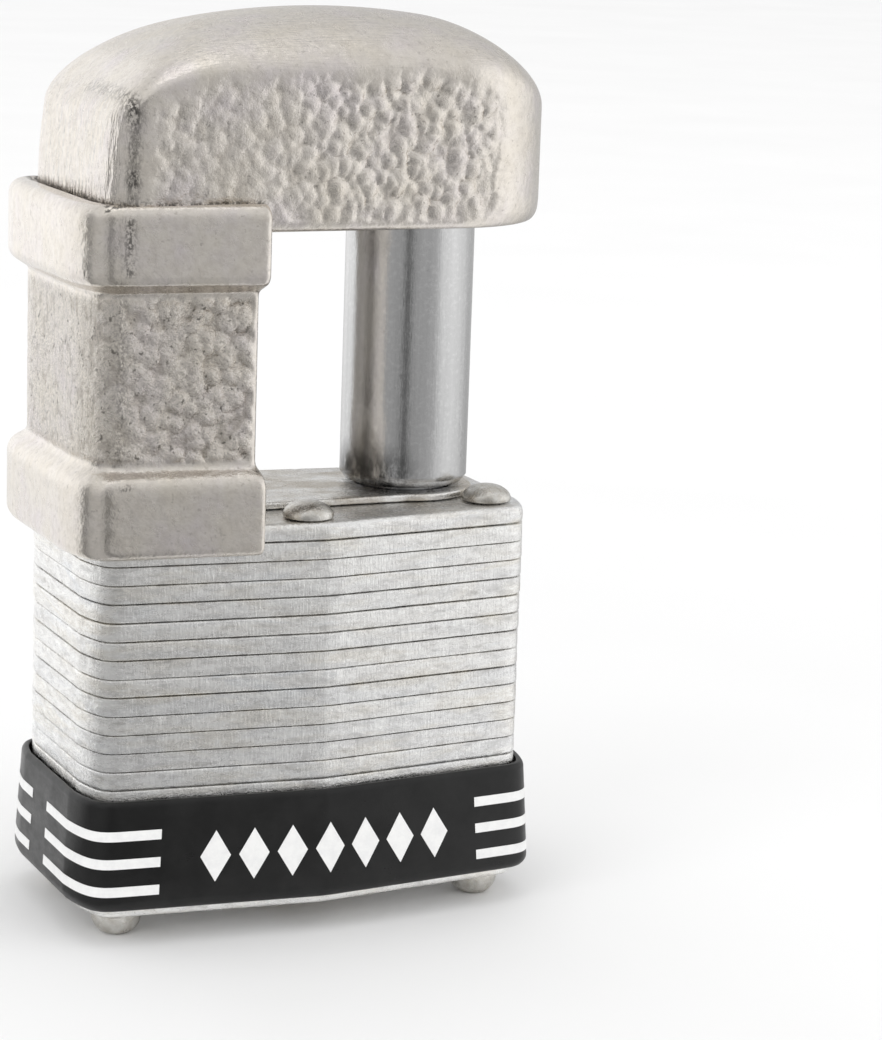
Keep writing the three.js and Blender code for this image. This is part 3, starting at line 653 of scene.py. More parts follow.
def moulded_finish():
    """Glossy black moulded plastic with faint dust and scuffs."""
    p = Paint("bumper_black", 0.0, 0.33, Specular_IOR_Level=0.38)
    cloud = p.noise(3.0, 5, 0.6)
    tone = p.ramp(cloud, [(0.35, (0.004, 0.004, 0.004)), (0.7, (0.010, 0.010, 0.010))])
    dust = p.noise(0.5, 6, 0.75, offset=6)
    tone = p.mix(p.ramp(dust, [(0.66, 0.0), (0.8, 0.2)]), tone, (0.12, 0.12, 0.12))
    p.color(tone)
    p.roughness(p.ramp(p.noise(1.2, 5, 0.7, stretch=(3, 3, 1)), [(0.3, 0.26), (0.75, 0.46)]))
    p.bump((p.noise(0.16, 3, 0.6), 0.008), (p.noise(2.5, 2, 0.5), 0.05))
    return p.material


def print_finish():
    """White pad print, a little uneven, the black just showing through at pinholes."""
    p = Paint("white_print", 0.0, 0.42)
    patch = p.noise(0.9, 5, 0.7)
    tone = p.ramp(patch, [(0.3, (0.80, 0.80, 0.80)), (0.6, (0.88, 0.88, 0.87))])
    holes = p.noise(0.18, 4, 0.8, offset=2)
    tone = p.mix(p.ramp(holes, [(0.74, 0.0), (0.8, 0.8)]), tone, (0.2, 0.2, 0.2))
    p.color(tone)
    p.roughness(p.ramp(patch, [(0.3, 0.36), (0.7, 0.5)]))
    p.bump((p.noise(0.2, 3, 0.6), 0.008))
    return p.material


def metal_finish(name, dark, light, rough, size=1.2, stretch=(1, 1, 1), grain=0.01):
    """Machined or formed metal: two tones clouded together, with fine grain."""
    p = Paint(name, 1.0, rough)
    cloud = p.noise(size, 5, 0.65)
    tone = p.ramp(cloud, [(0.32, dark), (0.68, light)])
    speck = p.noise(size * 0.25, 5, 0.75, offset=4)
    tone = p.mix(p.ramp(speck, [(0.66, 0.0), (0.76, 0.5)]), tone, tuple(c * 0.4 for c in dark))
    p.color(tone)
    p.roughness(p.ramp(p.noise(size, 4, 0.6, offset=7), [(0.3, rough * 0.75), (0.7, rough * 1.35)]))
    p.bump((p.noise(0.12, 3, 0.6, stretch=stretch), grain), (p.noise(0.5, 4), grain * 2))
    return p.material


ZINC = zinc_finish()
CAST = cast_finish()
POLISHED = polished_finish()
BLACK = moulded_finish()
WHITE = print_finish()
HARD = polished_finish("hardened_steel", (0.46, 0.46, 0.47), 0.26)
RIVET = metal_finish("rivet_steel", (0.50, 0.47, 0.42), (0.78, 0.77, 0.74), 0.24, 0.9, grain=0.03)
BRASS = metal_finish("brass", (0.62, 0.45, 0.20), (0.80, 0.62, 0.32), 0.28, 2.0, (1, 1, 6))
SPRING = metal_finish("spring_steel", (0.42, 0.42, 0.42), (0.60, 0.60, 0.60), 0.25, 0.6)
SINTERED = metal_finish("sintered_steel", (0.30, 0.30, 0.31), (0.44, 0.44, 0.45), 0.5, 0.4,
                        grain=0.03)


# ---- Plates ----
def bay_window(x0, x1, half, radius):
    """A slot between two leg bores, as one outline."""
    reach = math.asin(min(half / radius, 1.0))
    right = [(x1 + radius * math.cos(a), radius * math.sin(a))
             for a in np.linspace(-math.pi + reach, math.pi - reach, 40)]
    left = [(x0 + radius * math.cos(a), radius * math.sin(a))
            for a in np.linspace(reach, 2 * math.pi - reach, 40)]
    return np.array(right + left)


def keyed_round(radius, half, reach):
    """A round hole with a square-ended bay towards +X."""
    start = math.asin(half / radius)
    arc = [(radius * math.cos(a), radius * math.sin(a))
           for a in np.linspace(start, 2 * math.pi - start, 48)]
    return np.array(arc + [(reach, -half), (reach, half)])


def plate_holes(number, low, high):
    holes = [circle(x * RIVET_X, y * RIVET_Y, RIVET_HOLE, 24) for x in (-1, 1) for y in (-1, 1)]
    holes += [circle(CENTRE_X, y * CENTRE_Y, RIVET_HOLE, 24) for y in (-1, 1)]
    if number == 0:
        return holes + [circle(0, 0, SHELL_NOSE + 0.2, 72)]
    in_bay = DOG_LOW - 0.5 <= low < DOG_HIGH
    if in_bay:
        window = bay_window(HEEL_X, TOE_X, DOG_HALF + 0.6, LEG_BORE)
        return holes + [window]
    holes.append(circle(HEEL_X, 0, LEG_BORE, 48))
    if high > TOE_END:
        holes.append(circle(TOE_X, 0, LEG_BORE, 48))
    if low < SHELL_HIGH:
        holes.append(keyed_round(SHELL_R + 0.2, BIBLE_HALF + 0.2, BIBLE_X + 0.2))
    elif low < DOG_LOW - 0.5:
        holes.append(circle(0, 0, 5, 48))
    return holes


def plate_rings(number, low, high):
    """A sheared plate edge: rolled over below, clean in the middle, torn and burred above."""
    plan = body_outline(0.0)
    outward = normals_of(plan)
    roll, tear = chance.uniform(0.07, 0.12), chance.uniform(0.04, 0.09)
    if chance.random() < 0.45:
        roll, tear = roll + 0.09, tear + 0.06
    if number in (0, PLATES - 1):
        roll, tear = 0.3, 0.42
    profile = [(roll, 0.0), (roll * 0.35, roll * 0.25), (roll * 0.08, roll * 0.6), (0.0, roll * 1.1),
               (0.0, PLATE * 0.42), (0.015, PLATE * 0.6), (0.02, PLATE - tear * 1.3),
               (tear * 0.25, PLATE - tear * 0.55), (tear * 0.6, PLATE - tear * 0.18),
               (tear, PLATE)]
    shift = np.array([chance.uniform(-0.035, 0.035), chance.uniform(-0.035, 0.035)])
    shrink = 0.05 + chance.uniform(0, 0.045)
    seed = number * 7.3
    waves = np.array([noise.noise(Vector((p[0] * 0.22, p[1] * 0.22, seed))) for p in plan])
    rough = np.array([noise.noise(Vector((p[0] * 1.4, p[1] * 1.4, seed + 3))) for p in plan])
    nick = np.array([noise.noise(Vector((p[0] * 0.7, p[1] * 0.7, seed + 5))) for p in plan])
    nick = smoothstep((nick - 0.34) / 0.2)
    rings = []
    for inset, rise in profile:
        share = rise / PLATE
        inward = inset * (1 + 0.5 * nick) + shrink + 0.02 * waves + 0.016 * rough * share
        inward += 0.05 * nick * share ** 3
        rings.append(ring_at(plan - outward * inward[:, None] + shift, low + rise))
    return rings


for i in range(PLATES):
    low = FOOT + i * PITCH
    name = f"plate_{i + 1:02d}"
    shape = plate_mesh(plate_rings(i, low, low + PLATE), plate_holes(i, low, low + PLATE))
    piece(f"{name}_sheared", shape, "body", ZINC, [name], crease=38)


# ---- Rivets ----
def rivet_profile(low, seat, foot):
    dome = [(HEAD * math.sin(a), seat + 0.22 + (HEAD_HIGH - 0.22) * math.cos(a))
            for a in np.linspace(math.pi / 2, 0.12, 12)]
    head = [(SHANK, seat), (HEAD - 0.12, seat + 0.02), (HEAD - 0.03, seat + 0.08)] + dome
    head += [(0, seat + HEAD_HIGH)]
    if not foot:
        return [(0, low), (SHANK - 0.15, low), (SHANK, low + 0.15)] + head
    flat = HEAD * 0.42
    curve = [(flat + (HEAD - flat) * math.sin(a), FOOT * (0.8 - 0.8 * math.cos(a)))
             for a in np.linspace(0, math.pi / 2, 12)]
    return [(0, low)] + curve + [(HEAD, FOOT - 0.25), (HEAD - 0.1, FOOT - 0.05),
                                 (SHANK, FOOT - 0.05)] + head


def dented(shape, depth, seed, keep_low=None):
    """Small hammer marks, always inwards, on a turned head."""
    points, faces = shape
    centre = points.mean(axis=0)
    made = []
    for p in points:
        away = np.array([p[0] - centre[0], p[1] - centre[1]])
        reach = np.linalg.norm(away)
        hollow = depth * (0.5 + 0.5 * noise.noise(Vector(p * 0.9) + Vector((seed, 0, 0))))
        if reach > SHANK + 0.05:
            p = p - np.array([*(away / reach * hollow), 0])
        made.append(p)
    return np.array(made), faces


corners = [("left", "front", -1, -1), ("left", "back", -1, 1),
           ("right", "front", 1, -1), ("right", "back", 1, 1)]
for k, (side, end, sx, sy) in enumerate(corners):
    seat = TOP + FLOOR + 0.05 if sx < 0 else TOP
    shape = lathe(rivet_profile(0, seat, True), 48, sx * RIVET_X, sy * RIVET_Y)
    node = f"rivet_{side}_{end}"
    piece(f"{node}_headed", dented(shape, 0.09, k * 4.1), "body", RIVET, [node])
for end, sy in (("front", -1), ("back", 1)):
    shape = lathe(rivet_profile(FOOT + 0.1, TOP, False), 48, CENTRE_X, sy * CENTRE_Y)
    node = f"rivet_centre_{end}"
    piece(f"{node}_headed", dented(shape, 0.09, sy * 9.0), "body", RIVET, [node])


# ---- Bumper and its print ----
BUMPER_PROFILE = [(0.15, BUMPER_LOW), (0.8, BUMPER_LOW), (1.2, BUMPER_WIDE),
                  (0.7, BUMPER_HIGH - 0.3), (0.5, BUMPER_HIGH), (0.15, BUMPER_HIGH)]
section = rounded(BUMPER_PROFILE, [0.12, 0.3, 0.35, 0.3, 0.15, 0.12], 4, closed=True)
piece("bumper_moulded", loft([ring_at(body_outline(g), z) for g, z in section], loop=True),
      "body", BLACK, ["bumper"], crease=50)


def band_grow(z):
    """How far the bumper's outer face stands off the body at a height."""
    return float(np.interp(z, [BUMPER_WIDE, BUMPER_HIGH - 0.3], [1.2, 0.7]))


PERIMETER = body_outline(1.0, 2400)
PERIMETER_STEP = np.linalg.norm(np.roll(PERIMETER, -1, axis=0) - PERIMETER, axis=1)
LENGTH = PERIMETER_STEP.sum()
ALONG = np.concatenate([[0], np.cumsum(PERIMETER_STEP)])


def on_band(s, z, lift):
    """A point on the bumper: s runs along it from the front crease towards +X, in mm."""
    share = (s % LENGTH) / LENGTH
    loop_low, loop_high = BAND_LOOPS
    t = (band_grow(z) - 0.5) / 1.0
    at = share * len(loop_low)
    i, f = int(at) % len(loop_low), at - int(at)
    j = (i + 1) % len(loop_low)
    low = loop_low[i] * (1 - f) + loop_low[j] * f
    high = loop_high[i] * (1 - f) + loop_high[j] * f
    n = BAND_NORMALS[i] * (1 - f) + BAND_NORMALS[j] * f
    p = low * (1 - t) + high * t + n * lift
    return p[0], p[1], z


BAND_LOOPS = (body_outline(0.5, 1200), body_outline(1.5, 1200))
BAND_NORMALS = normals_of(body_outline(1.0, 1200))
PRINT_LIFT, PRINT_SINK = 0.035, -0.05


def stripe(name, s0, s1, z0, z1):
    """A printed stripe that follows the bumper from s0 to s1."""
    steps = max(2, int(abs(s1 - s0) / 0.25))
    rings = []
    for s in np.linspace(s0, s1, steps + 1):
        rings.append([on_band(s, z0, PRINT_SINK), on_band(s, z0, PRINT_LIFT),
                      on_band(s, z1, PRINT_LIFT), on_band(s, z1, PRINT_SINK)])
    piece(name, loft(rings), "body", WHITE, [], crease=30)


def lozenge(name, s, z, half_wide, half_high):
    """A printed lozenge, sampled finely so that it follows the curved band."""
    corners = [(s + half_wide, z), (s, z + half_high), (s - half_wide, z), (s, z - half_high)]
    edge = np.vstack([spread([corners[k], corners[(k + 1) % 4]], 9)[:-1] for k in range(4)])
    count = len(edge)
    points, faces = [], []
    shares = (1.0, 0.66, 0.33)
    for share in shares:
        points += [on_band(s + (a - s) * share, z + (b - z) * share, PRINT_LIFT) for a, b in edge]
    points += [on_band(s, z, PRINT_LIFT)]
    points += [on_band(a, b, PRINT_SINK) for a, b in edge]
    under = len(points) - count
    for i in range(count):
        j = (i + 1) % count
        for ring in range(len(shares) - 1):
            a = ring * count
            faces.append((a + i, a + j, a + count + j, a + count + i))
        last = (len(shares) - 1) * count
        faces.append((last + i, last + j, under - 1))
        faces.append((under + i, under + j, j, i))
    faces.append(tuple(range(under, under + count))[::-1])
    piece(name, (np.array(points), faces), "body", WHITE, [], crease=30)


STRIPES = [(BUMPER_LOW + z - 0.41, BUMPER_LOW + z + 0.41) for z in (1.84, 4.14, 6.44)]
MARKS = 7
SIDE_MIDDLE = LENGTH / 4
for face, centre, gap in (("front", 0.0, 0.7), ("back", LENGTH / 2, 3.2)):
    reach = SIDE_MIDDLE - gap
    for row, (z0, z1) in enumerate(STRIPES):
        stripe(f"stripe_{face}_left_{row + 1}", centre - reach, centre - 14.2, z0, z1)
        stripe(f"stripe_{face}_right_{row + 1}", centre + 14.3, centre + reach, z0, z1)
    for k in range(MARKS):
        s = centre + 0.35 + (k - (MARKS - 1) / 2) * 3.3
        lozenge(f"lozenge_{face}_{k + 1}", s, BUMPER_LOW + 4.3, 1.3, 2.15)


# ---- Foot plate ----
def foot_outline():
    half, tail = FOOT_HALF, FOOT_TAIL
    start = math.asin(half / FOOT_END)
    arc = [(TOE_X + FOOT_END * math.cos(a), FOOT_END * math.sin(a))
           for a in np.linspace(-math.pi + start, math.pi - start, 90)
           if math.cos(a) > -math.cos(start) - 1e-9]
    line = [(HEEL_X - 5.6, -tail), (HEEL_X - 2.5, -tail), (HEEL_X - 2.3, -half)]
    plan = line + arc + [(x, -y) for x, y in line[::-1]]
    return spread(rounded(plan[:3], 0.2)[:-1].tolist() + plan[2:-3]
                  + rounded(plan[-3:], 0.2)[1:].tolist(), 420, closed=True)


foot = slab(foot_outline(), TOP, TOP + FOOT_THICK,
            [circle(HEEL_X, 0, LEG_BORE, 64), circle(TOE_X, 0, LEG_BORE, 64)], 0.2, 4)
piece("guard_foot_plate_pressed", foot, "body", ZINC, ["guard_foot_plate"])


# ---- Guard ----
def paint_points(obj, name, value):
    """Stores a number on every vertex, from a function of its place in mm."""
    layer = obj.data.attributes.get(name) or obj.data.attributes.new(name, "FLOAT", "POINT")
    places = [(np.array(v.co) - ORIGIN) / MM for v in obj.data.vertices]
    layer.data.foreach_set("value", [value(p) for p in places])


def corner_reflection_line(x, y, centre):
    """A dark line down the front heel corner, painted as a dark reflection."""
    return math.exp(-((x - centre) / 0.5) ** 2) if y < 0 else 0.0


def hammered(x, z):
    """How strongly the guard's column is hammered at a point."""
    rise = smoothstep((z - COLUMN_LOW - 0.15) / 0.8) * smoothstep((COLUMN_HIGH - 0.1 - z) / 0.8)
    return float(rise * smoothstep((GUARD_RIGHT - 0.75 - x) / 0.6))


HAMMER = 0.34
PEBBLE = 1.22


def relief(x, y, z):
    """Depth of the hammering in mm: shallower towards the heel, uneven all over."""
    broad = 0.5 + 0.5 * noise.noise(Vector((x * 0.16, y * 0.16, z * 0.16 + 3)))
    return HAMMER * (0.42 + 0.6 * float(smoothstep((x + 7) / 10)) + 0.4 * (broad - 0.5))


def flank(x, y):
    """0 on the heel end of the casting, rising to 1 on its front and back."""
    return float(smoothstep((x + 18.4) / 2.2))


def guard_shape():
    key = [(0.35, SKIRT_LOW), (BAND - 0.35, SKIRT_LOW), (BAND, SKIRT_LOW + 0.55),
           (BAND, SKIRT_HIGH), (COLUMN, COLUMN_LOW), (COLUMN, COLUMN_HIGH),
           (BAND - 0.2, COLLAR_LOW - 0.2), (BAND, COLLAR_LOW + 0.3), (BAND, COLLAR_HIGH - 0.75),
           (BAND - 0.55, COLLAR_HIGH), (0.2, COLLAR_HIGH)]
    radii = [0, 0.4, 0.4, 0.9, 0.45, 0.4, 0.4, 0.5, 0.7, 0.55, 0]
    line = rounded(key, radii, 6)
    rings = []
    dense = []
    for a, b in zip(line, line[1:]):
        steps = max(1, int(np.linalg.norm(b - a) / 0.2))
        dense += [a + (b - a) * k / steps for k in range(steps)]
    dense.append(line[-1])
    for grow, z in dense:
        right = GUARD_RIGHT - 0.42 * (BAND - max(grow, COLUMN)) / (BAND - COLUMN)
        plan = guard_outline(grow, right)
        outward = normals_of(plan)
        ring = ring_at(plan, z)
        if COLUMN_LOW < z < COLUMN_HIGH:
            push = np.array([hammered(x, z) * (pebble((x, y, z), PEBBLE) - 0.6)
                             * relief(x + 11 + (z - COLUMN_LOW) * 0.3, y, z) * (0.3 + 0.9 * flank(x, y))
                             for x, y in plan])
            ring[:, :2] += outward * push[:, None]
        rings.append(ring)
    return loft(rings)


def guard_hollow():
    plan = guard_outline(COLUMN - WALL, GUARD_RIGHT - 1.3, 0.6, (120, 6, 40))
    return loft([ring_at(plan, TOP + FLOOR), ring_at(plan, CAP_LOW)])


few = (30, 40, 10, 20)
mouth = loft([ring_at(cap_outline(inset, 0, few), z) for inset, z in (
    (-0.4, CAP_LOW - 0.3), (-0.4, COLLAR_HIGH - 0.5), (-0.52, COLLAR_HIGH - 0.18),
    (-0.85, COLLAR_HIGH + 0.02), (-1.2, COLLAR_HIGH + 1))])
slot_half = FOOT_HALF + 0.3
guard_cuts = [
    loft([ring_at(body_outline(0.3, 200), SKIRT_LOW - 1), ring_at(body_outline(0.3, 200), TOP + 0.02)]),
    box(-18.3, 0, -slot_half, slot_half, TOP - 1, TOP + FOOT_THICK + 0.3),
    guard_hollow(),
    mouth,
    post(HEEL_X, 0, LEG_BORE, TOP - 1, TOP + 4),
    post(-RIVET_X, -RIVET_Y, RIVET_HOLE, TOP - 1, TOP + 4, 32),
    post(-RIVET_X, RIVET_Y, RIVET_HOLE, TOP - 1, TOP + 4, 32),
]
guard = piece("guard_cast", guard_shape(), "body", CAST, ["guard"],
              cuts=guard_cuts, crease=40)


# Painted shade and dirt: 1 in the grooves between the column's pebbles, 0 on their tops.
def guard_groove_dirt_and_shade(p):
    x, y, z = p
    cover = hammered(x, z)
    return (1 - min(1.0, max(0.0, pebble((x, y, z), PEBBLE)) * 1.5)) * cover if cover > 0.02 else 0.0


# Painted shade inside the collar's mouth round the cap, and the painted dark reflection line down the
# front heel corner on the collar, the column and the skirt's lip.
def guard_shade_and_reflection(p):
    x, y, z = p
    collar = 0.8 * smoothstep((z - COLLAR_LOW - 0.3) / 0.5) * smoothstep((COLLAR_HIGH - 0.6 - z) / 0.6)
    column = 0.45 * (COLUMN_LOW + 0.5 < z < COLUMN_HIGH - 0.5)
    lip = 0.9 * smoothstep(1 - abs(z - SKIRT_HIGH + 0.25) / 0.4)
    inner = x > CAP_LEFT - 0.6 and abs(y) < CAP_HALF + 0.5 and x < GUARD_RIGHT - 1
    gap = 0.9 * smoothstep((z - CAP_LOW) / 0.5) * inner
    return max(float(gap), corner_reflection_line(x, y, -17.7) * float(max(collar, column, lip)))


def guard_crust(p):
    x, y, z = p
    return hammered(x, z)


def guard_ripple(p):
    x, y, z = p
    return (1 - flank(x, y)) * hammered(x, z)


paint_points(guard, "groove_dirt_and_shade", guard_groove_dirt_and_shade)
paint_points(guard, "shade_and_reflection", guard_shade_and_reflection)
paint_points(guard, "crust", guard_crust)
paint_points(guard, "ripple", guard_ripple)


# ---- Cap ----
def cap_hammer(z, x):
    """Full on the flat walls, dying out at the dome, the heel end and round the toe."""
    top = CAP_WALL + 0.5 + 0.9 * noise.noise(Vector((x * 0.22, 4.0, 1.0)))
    top -= 2.2 * float(smoothstep((-9.0 - x) / 6.0)) + 1.5 * float(smoothstep((x - 11) / 4))
    walls = smoothstep((top - z) / 1.6) * smoothstep((z - CAP_LOW - 0.5) / 0.7)
    return float(walls * smoothstep((x + 16.6) / 2.5) * smoothstep((16.5 - x) / 3.2))


def shoulder_drop(x):
    """How far the top of the cap's wall lies lower towards its two ends."""
    heel = HEEL_DROP * np.clip((-9.5 - x) / 9.0, 0, 1) ** 2
    return heel + TOE_DROP * np.clip((x - 11.5) / 10.4, 0, 1) ** 2


def cap_shape():
    rows = []
    for inset, z in rounded([(2.0, CAP_LOW), (0.55, CAP_LOW), (0.08, CAP_LOW + 0.75),
                             (0.0, CAP_LOW + 1.8)], [0, 0.5, 0.5, 0], 5):
        rows.append(ring_at(cap_outline(inset), z))
    steps = int((CAP_WALL - CAP_LOW - 1.8) / 0.19)
    drop = shoulder_drop(cap_outline(0.0, CAP_DRAFT)[:, 0])
    for k in range(1, steps + 1):
        share = k / steps
        z = CAP_LOW + 1.8 + (CAP_WALL - drop - CAP_LOW - 1.8) * share
        rows.append(ring_at(cap_outline(0.0, CAP_DRAFT * share ** 2), z))
    for turn in np.linspace(0.06, 1.5688, 34):
        inset = CAP_HALF * (1 - math.cos(turn))
        plan = cap_outline(inset, CAP_DRAFT)
        fall = (plan[:, 0] - CROWN_X) ** 2 / CROWN_FALL
        rise = (CROWN - fall + drop) * math.sin(turn)
        rows.append(ring_at(plan, CAP_WALL - drop + rise))
    made = []
    for ring in rows:
        outward = normals_of(ring[:, :2])
        push = np.zeros(len(ring))
        for k, (x, y, z) in enumerate(ring):
            cover = cap_hammer(z, x)
            if cover > 0.01:
                push[k] = cover * (pebble((x, y, z + 50), PEBBLE) - 1.0) * relief(x, y, z)
        ring = ring.copy()
        ring[:, :2] += outward * push[:, None]
        made.append(ring)
    return loft(made)


def bow_channel():
    centre = (HEEL_X + TOE_X) / 2
    reach = (TOE_X - HEEL_X) / 2 + BAR + 0.35
    arch = [(reach, -3.0)] + [(reach * math.cos(a), reach * math.sin(a))
                              for a in np.linspace(0, math.pi, 40)] + [(-reach, -3.0)]
    plan = np.array(arch)
    rings = [np.column_stack([plan[:, 0] + centre, np.full(len(plan), y), plan[:, 1] + BOW_Z])
             for y in (-LEG_BORE, LEG_BORE)]
    return loft(rings)


cap_cuts = [bow_channel(), post(TOE_X, 0, SLEEVE_R + 0.3, CAP_LOW - 1, SLEEVE_HIGH + 0.3)]
cap = piece("shackle_cap_cast", cap_shape(), "shackle", CAST, ["shackle_cap"],
            cuts=cap_cuts, crease=40)


# Painted shade and dirt: 1 in the grooves between the cap's pebbles, 0 on their tops.
def cap_groove_dirt_and_shade(p):
    x, y, z = p
    cover = cap_hammer(z, x)
    if cover < 0.02 or abs(y) < LEG_BORE + 0.5 and -16 < x < 16:
        return 0.0
    return (1 - min(1.0, max(0.0, pebble((x, y, z + 50), PEBBLE)) * 1.5)) * cover * 0.8


# Painted shadow round the cap's lower edge, where it stands inside the guard's collar, and the painted
# dark reflection line down the front heel corner, stronger in two bands.
def cap_shade_and_reflection(p):
    x, y, z = p
    upper = smoothstep(1.3 - abs(z - COLLAR_HIGH - 7.2) / 1.6)
    lower = smoothstep(1.3 - abs(z - COLLAR_HIGH - 1.9) / 0.9)
    gap = 0.9 * smoothstep((COLLAR_HIGH + 0.35 - z) / 0.5) * (x < GUARD_RIGHT)
    streak = float(max(0.5 * (z < COLLAR_HIGH + 7), 1.1 * upper, lower))
    return max(float(gap), corner_reflection_line(x, y, -17.05) * streak)


def cap_crust(p):
    x, y, z = p
    return 0.4 * cap_hammer(z, x)


def cap_ripple(p):
    x, y, z = p
    return (1 - flank(x, y)) * float(smoothstep((CAP_WALL + 1 - z) / 2))


def cap_brush(p):
    x, y, z = p
    return float(smoothstep((z - CAP_WALL) / 1.5))


paint_points(cap, "groove_dirt_and_shade", cap_groove_dirt_and_shade)
paint_points(cap, "shade_and_reflection", cap_shade_and_reflection)
paint_points(cap, "crust", cap_crust)
paint_points(cap, "ripple", cap_ripple)
paint_points(cap, "brush", cap_brush)


# ---- Shackle and sleeve ----
def shackle_shape():
    centre, bend = (HEEL_X + TOE_X) / 2, (TOE_X - HEEL_X) / 2
    line, radii = [], []
    tip = 0.5
    for k, r in ((0.0, BAR - tip), (0.15, BAR - 0.2), (tip, BAR)):
        line.append((HEEL_X, 0, HEEL_END + k))
        radii.append(r)
    line += [(HEEL_X, 0, z) for z in np.linspace(HEEL_END + 1, BOW_Z, 40)]
    line += [(centre + bend * math.cos(a), 0, BOW_Z + bend * math.sin(a))
             for a in np.linspace(math.pi, 0, 40)[1:-1]]
    line += [(TOE_X, 0, z) for z in np.linspace(BOW_Z, TOE_END + 1, 30)]
    radii += [BAR] * (len(line) - len(radii))
    for k, r in ((tip, BAR), (0.15, BAR - 0.2), (0.0, BAR - tip)):
        line.append((TOE_X, 0, TOE_END + k))
        radii.append(r)
    return tube(line, radii, 48, up=(0, 1, 0))


def neck_cut():
    outer, inner = circle(HEEL_X, 0, BAR + 1, 48), circle(HEEL_X, 0, NECK_RADIUS, 48)
    rings = [ring_at(outer, NECK_LOW), ring_at(outer, NECK_HIGH),
             ring_at(inner, NECK_HIGH), ring_at(inner, NECK_LOW)]
    return loft(rings, loop=True)


flat_x, far = HEEL_X + 1.4, HEEL_X + 6
piece("shackle_bar", shackle_shape(), "shackle", HARD, ["shackle"], cuts=[
    box(flat_x, far, -6, 6, NOTCH_LOW, NOTCH_HIGH),
    box(HEEL_X + BAR - 0.6, far, -6, 6, NECK_HIGH - 0.1, NOTCH_LOW + 0.1),
    box(flat_x, far, -6, 6, NECK_LOW, NECK_HIGH),
    neck_cut(),
    box(TOE_X - 6, TOE_X - BAR + DOG_TRAVEL, -6, 6, NOTCH_LOW, NOTCH_HIGH),
])
sleeve = [(LEG_BORE, SLEEVE_LOW + 0.15), (LEG_BORE + 0.15, SLEEVE_LOW)]
sleeve += [(SLEEVE_R - 0.55, SLEEVE_LOW), (SLEEVE_R - 0.42, SLEEVE_LOW + 0.05),
           (SLEEVE_R - 0.08, SLEEVE_LOW + 0.5), (SLEEVE_R, SLEEVE_LOW + 0.62)]
sleeve += [(SLEEVE_R, z) for z in np.linspace(SLEEVE_LOW + 1, SLEEVE_HIGH - 0.3, 24)]
sleeve += [(SLEEVE_R, SLEEVE_HIGH - 0.12), (SLEEVE_R - 0.12, SLEEVE_HIGH),
           (LEG_BORE + 0.12, SLEEVE_HIGH), (LEG_BORE, SLEEVE_HIGH - 0.12)]
piece("toe_sleeve_ground", lathe(sleeve, 120, TOE_X, 0), "shackle", POLISHED, ["toe_sleeve"],
      crease=50)


# ---- Cylinder ----
shell_profile = [(0, FOOT + 0.1), (SHELL_NOSE - 0.25, FOOT + 0.1), (SHELL_NOSE, FOOT + 0.3),
                 (SHELL_NOSE, SHELL_LOW), (SHELL_R - 0.15, SHELL_LOW), (SHELL_R, SHELL_LOW + 0.15),
                 (SHELL_R, SHELL_HIGH - 0.15), (SHELL_R - 0.15, SHELL_HIGH), (0, SHELL_HIGH)]
cover_x0, cover_half = BIBLE_X - 0.6, 1.6
bore = lathe([(0, 0), (PLUG_R + 0.55, 0), (PLUG_R + 0.55, FOOT + 0.1), (PLUG_R + 0.2, FOOT + 0.4),
              (PLUG_R + 0.2, SHELL_HIGH + 1), (0, SHELL_HIGH + 1)], 64)
piece("cylinder_shell_turned", lathe(shell_profile, 72), "body", BRASS, ["cylinder_shell"],
      joins=[box(3, BIBLE_X, -BIBLE_HALF, BIBLE_HALF, SHELL_LOW, SHELL_HIGH)],
      cuts=[bore, box(cover_x0, BIBLE_X + 1, -cover_half, cover_half, SHELL_LOW + 0.4, SHELL_HIGH + 1)]
      + [moved(along_x(post(0, 0, CHAMBER_R, 1, BIBLE_X + 1, 32)), z=z) for z in CHAMBERS])
piece("chamber_cover_cut", box(cover_x0 + 0.1, BIBLE_X, -cover_half + 0.1, cover_half - 0.1,
                               SHELL_LOW + 0.5, SHELL_HIGH),
      "body", BRASS, ["chamber_cover"], ease=0.12)
KEYWAY = [(-3.0, -0.55), (-0.9, -0.55), (-0.9, -1.0), (0.4, -1.0), (0.4, -0.45), (2.3, -0.45),
          (2.3, 0.8), (0.9, 0.8), (0.9, 0.35), (-1.6, 0.35), (-1.6, 0.9), (-3.0, 0.9)]
keyway = rounded(KEYWAY, 0.14, 3, closed=True)
plug_low = FOOT + 0.2
plug = lathe([(0, plug_low), (PLUG_R - 0.3, plug_low), (PLUG_R, plug_low + 0.3),
              (PLUG_R, PLUG_HIGH - 0.2), (PLUG_R - 0.2, PLUG_HIGH), (0, PLUG_HIGH)], 72)
plug_cuts = [loft([ring_at(keyway, 0), ring_at(keyway, PLUG_HIGH - 1.2)])]
plug_cuts += [moved(along_x(post(0, 0, CHAMBER_R, 0.5, 5, 32)), z=z) for z in CHAMBERS]
piece("plug_turned", turned(plug), "plug", BRASS, ["plug"],
      joins=[turned(box(-2.4, 2.4, -1, 1, PLUG_HIGH - 0.5, TENON_HIGH))],
      cuts=[turned(cut) for cut in plug_cuts])


def pin_profile(x0, x1, tip):
    """A pin along X: its tip at x0 is domed when tip is set, its other end eased."""
    ease = 0.18
    if tip:
        head = [(0, x0), (PIN_R * 0.35, x0 + 0.06), (PIN_R * 0.7, x0 + 0.25), (PIN_R, x0 + 0.62)]
    else:
        head = [(0, x0), (PIN_R - ease, x0), (PIN_R, x0 + ease)]
    return head + [(PIN_R, x1 - ease), (PIN_R - ease, x1), (0, x1)]


